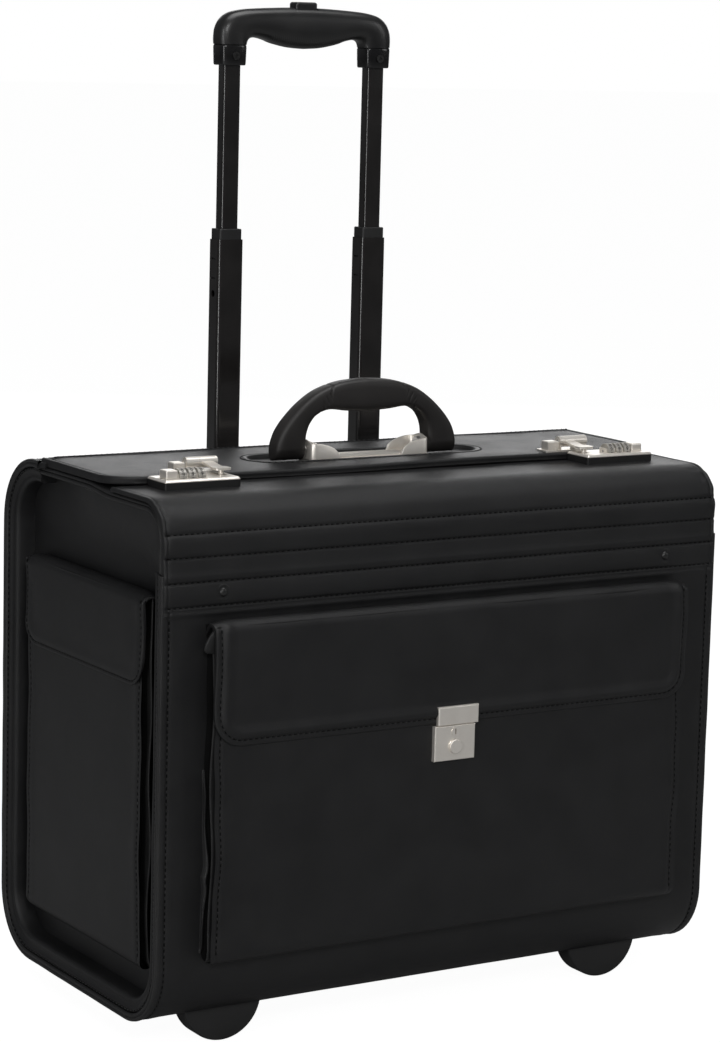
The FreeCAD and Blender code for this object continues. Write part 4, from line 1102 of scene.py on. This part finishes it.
def plate_wall():
    """Path round one end of the handle's plate, as (x, y, outward x, outward y, height of the wall)."""
    corner_x, corner_y = PLATE_X - PLATE_CORNER, PLATE_CORNER - PLATE_Y
    path = [(x, -PLATE_Y, 0.0, -1.0) for x in spread(27.0, corner_x, 2.0)]
    path += arc_points((corner_x, corner_y), PLATE_CORNER, -90, 0, 6)[1:]
    path += [(PLATE_X, y, 1.0, 0.0) for y in spread(corner_y, 0.0, 1.5)[1:]]
    path += [(x, -y, nx, -ny) for x, y, nx, ny in reversed(path[:-1])]
    for x, y, nx, ny in path:
        toe = max(0.0, PLATE_X - 2.0 - x) / (PLATE_X - 29.0)
        tall = 2.2 + 11.6 * math.sqrt(max(0.0, 1 - toe ** 2)) + 2.6 * smooth(PLATE_Y, 0.0, abs(y))
        yield x, y, nx, ny, tall


def handle_plate():
    """Bright plate between the handle's feet: ribbed middle and a rounded wall round each end."""
    base = []
    for grow, z in ((-0.5, 0.0), (0.0, 0.4), (0.0, 1.5), (-0.5, 2.0)):
        x, y = PLATE_X + grow, PLATE_Y + 1.0 + grow
        base.append([(a, HANDLE_Y + b, PLATE_Z + z) for a, b in ((-x, -y), (x, -y), (x, y), (-x, y))])
    ribs = [(-RIBS_Y, 1.5)]
    for i in range(41):
        y = -RIBS_Y + RIBS_Y * i / 20
        ribs.append((y, 2.9 + 0.35 * math.cos(2 * math.pi * y / PLATE_RIB_PITCH)))
    ribs.append((RIBS_Y, 1.5))
    bars = [[(x, HANDLE_Y + y, PLATE_Z + min(z, top)) for y, z in ribs]
            for x, top in ((-RIBS_X, 2.4), (-RIBS_X + 0.6, 4.0), (RIBS_X - 0.6, 4.0), (RIBS_X, 2.4))]
    walls = []
    for sign in (1, -1):
        sections = []
        for x, y, nx, ny, tall in plate_wall():
            profile = ((0.0, 0.8), (0.0, tall - 0.8), (-0.25, tall - 0.2), (-WALL / 2, tall),
                       (0.25 - WALL, tall - 0.2), (-WALL, tall - 0.8), (-WALL, 0.8))
            sections.append([(sign * (x + nx * out), HANDLE_Y + y + ny * out, PLATE_Z + z)
                             for out, z in profile])
        walls.append(loft(sections))
    points, faces = together(loft(base), loft(bars), *walls)
    plate = piece("handle_plate_nickel", points, faces, [NICKEL], "nickel", "lid", sharp=40)
    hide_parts("handle_plate")


RIVET_PROFILE = ((0.7, 3.3), (1.5, 3.15), (2.3, 2.8), (3.0, 2.2), (3.5, 1.3), (3.7, 0.3), (4.3, 0.3),
                 (4.6, 1.3), (5.1, 1.7), (5.7, 1.5), (6.0, 0.9), (6.0, 0.0))


def rivets():
    """Domed rivet heads with a pressed ring, at both ends of the fold's band."""
    angles = [math.radians(15 * k) for k in range(24)]
    heads = [loft([[(sign * RIVET_X + r * math.cos(a), -c, RIVET_Z + r * math.sin(a)) for a in angles]
                   for r, c in RIVET_PROFILE]) for sign in (-1, 1)]
    rivet_heads = piece("rivet_heads", *together(*heads), [RIVET], "rivet_metal", "case", sharp=80)
    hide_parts("band_rivets")


# ---- Studio ----
ROOM_LIGHT = 0.13
SOFTBOXES = (                         # name, place, aim, size and power
    ("top_softbox", (0.1, -0.2, 2.4), (0, 0, 0.2), (1.6, 1.2), 25.0),
    ("back_card", (1.9, 3.0, 1.2), (0, 0, 0.4), (3.4, 1.8), 34.0),
    ("left_strip", (-2.5, -1.5, 0.9), (-0.1, 0, 0.4), (0.4, 2.0), 22.0),
    ("front_softbox", (-1.3, -2.8, 1.9), (0, 0, 0.3), (0.7, 0.5), 25.0),
    ("right_fill", (2.4, -2.2, 1.6), (0.1, 0, 0.3), (0.6, 1.2), 8.0))
FLOOR_HALF = 40.0
CAMERA_PLACE = (-1.1982, -1.9345, 0.7189)
CAMERA_TURN = (31.63, 9.01, 1.46)     # yaw, downward pitch and roll in degrees
CAMERA_LENS = 104.4


def show_white(tree, lighting, white, target):
    """Straight at the backdrop it is clean white; the light that it gives the object is softer."""
    seen = tree.nodes.new("ShaderNodeLightPath").outputs["Is Camera Ray"]
    mix = add_node(tree, "ShaderNodeMixShader", {0: seen, 1: lighting, 2: white})
    tree.links.new(mix.outputs[0], target)


def backdrop_material():
    material, tree, shader = new_material("floor_white", (0.42, 0.42, 0.42), 0.8, Specular_IOR_Level=0.0)
    glow = add_node(tree, "ShaderNodeEmission", Color=(1, 1, 1, 1), Strength=0.97)
    lit = add_node(tree, "ShaderNodeBsdfDiffuse", Color=(0.14, 0.14, 0.14, 1))
    both = add_node(tree, "ShaderNodeAddShader", {0: glow.outputs[0], 1: lit.outputs[0]})
    show_white(tree, shader.outputs[0], both.outputs[0], tree.nodes["Material Output"].inputs["Surface"])
    return material


def backdrop():
    """Pale floor and white surroundings."""
    corners = [(x * FLOOR_HALF, y * FLOOR_HALF, 0) for x, y in ((-1, -1), (1, -1), (1, 1), (-1, 1))]
    mesh = bpy.data.meshes.new("floor")
    mesh.from_pydata(corners, [], [(0, 1, 2, 3)])
    floor = linked("floor", mesh)
    mesh.materials.append(backdrop_material())

    world = bpy.data.worlds.new("studio")
    bpy.context.scene.world = world
    world.use_nodes = True
    tree = world.node_tree
    room = tree.nodes["Background"]
    room.inputs["Color"].default_value = (0.95, 0.97, 1.0, 1)
    room.inputs["Strength"].default_value = ROOM_LIGHT
    white = add_node(tree, "ShaderNodeBackground", Color=(1, 1, 1, 1), Strength=1.0)
    show_white(tree, room.outputs[0], white.outputs[0], tree.nodes["World Output"].inputs["Surface"])


def lights():
    for name, location, aim, size, power in SOFTBOXES:
        light = bpy.data.lights.new(name, "AREA")
        light.shape = "RECTANGLE"
        light.size, light.size_y = size
        light.energy = power
        lamp = linked(name, light)
        lamp.visible_camera = False
        lamp.location = location
        lamp.rotation_mode = "QUATERNION"
        lamp.rotation_quaternion = (Vector(aim) - Vector(location)).to_track_quat("-Z", "Y")
    bpy.context.scene.view_settings.view_transform = "Standard"


def camera():
    data = bpy.data.cameras.new("camera")
    data.lens = CAMERA_LENS
    data.sensor_width = 36.0
    data.clip_start, data.clip_end = 0.05, 100
    eye = linked("camera", data)
    yaw, pitch, roll = (math.radians(a) for a in CAMERA_TURN)
    forward = Vector((math.sin(yaw) * math.cos(pitch), math.cos(yaw) * math.cos(pitch), -math.sin(pitch)))
    level = Vector((math.cos(yaw), -math.sin(yaw), 0))
    upright = level.cross(forward)
    right = level * math.cos(roll) + upright * math.sin(roll)
    up = upright * math.cos(roll) - level * math.sin(roll)
    eye.matrix_world = Matrix((right, up, -forward)).transposed().to_4x4()
    eye.location = CAMERA_PLACE
    bpy.context.scene.camera = eye


dress_cad_nodes()
shell()
side_edges()
side_panels()
front_flap()
lid()
lid_hinge()
pockets()
dial_numerals()
grip()
carry_handle()
handle_plate()
rivets()
backdrop()
lights()
camera()
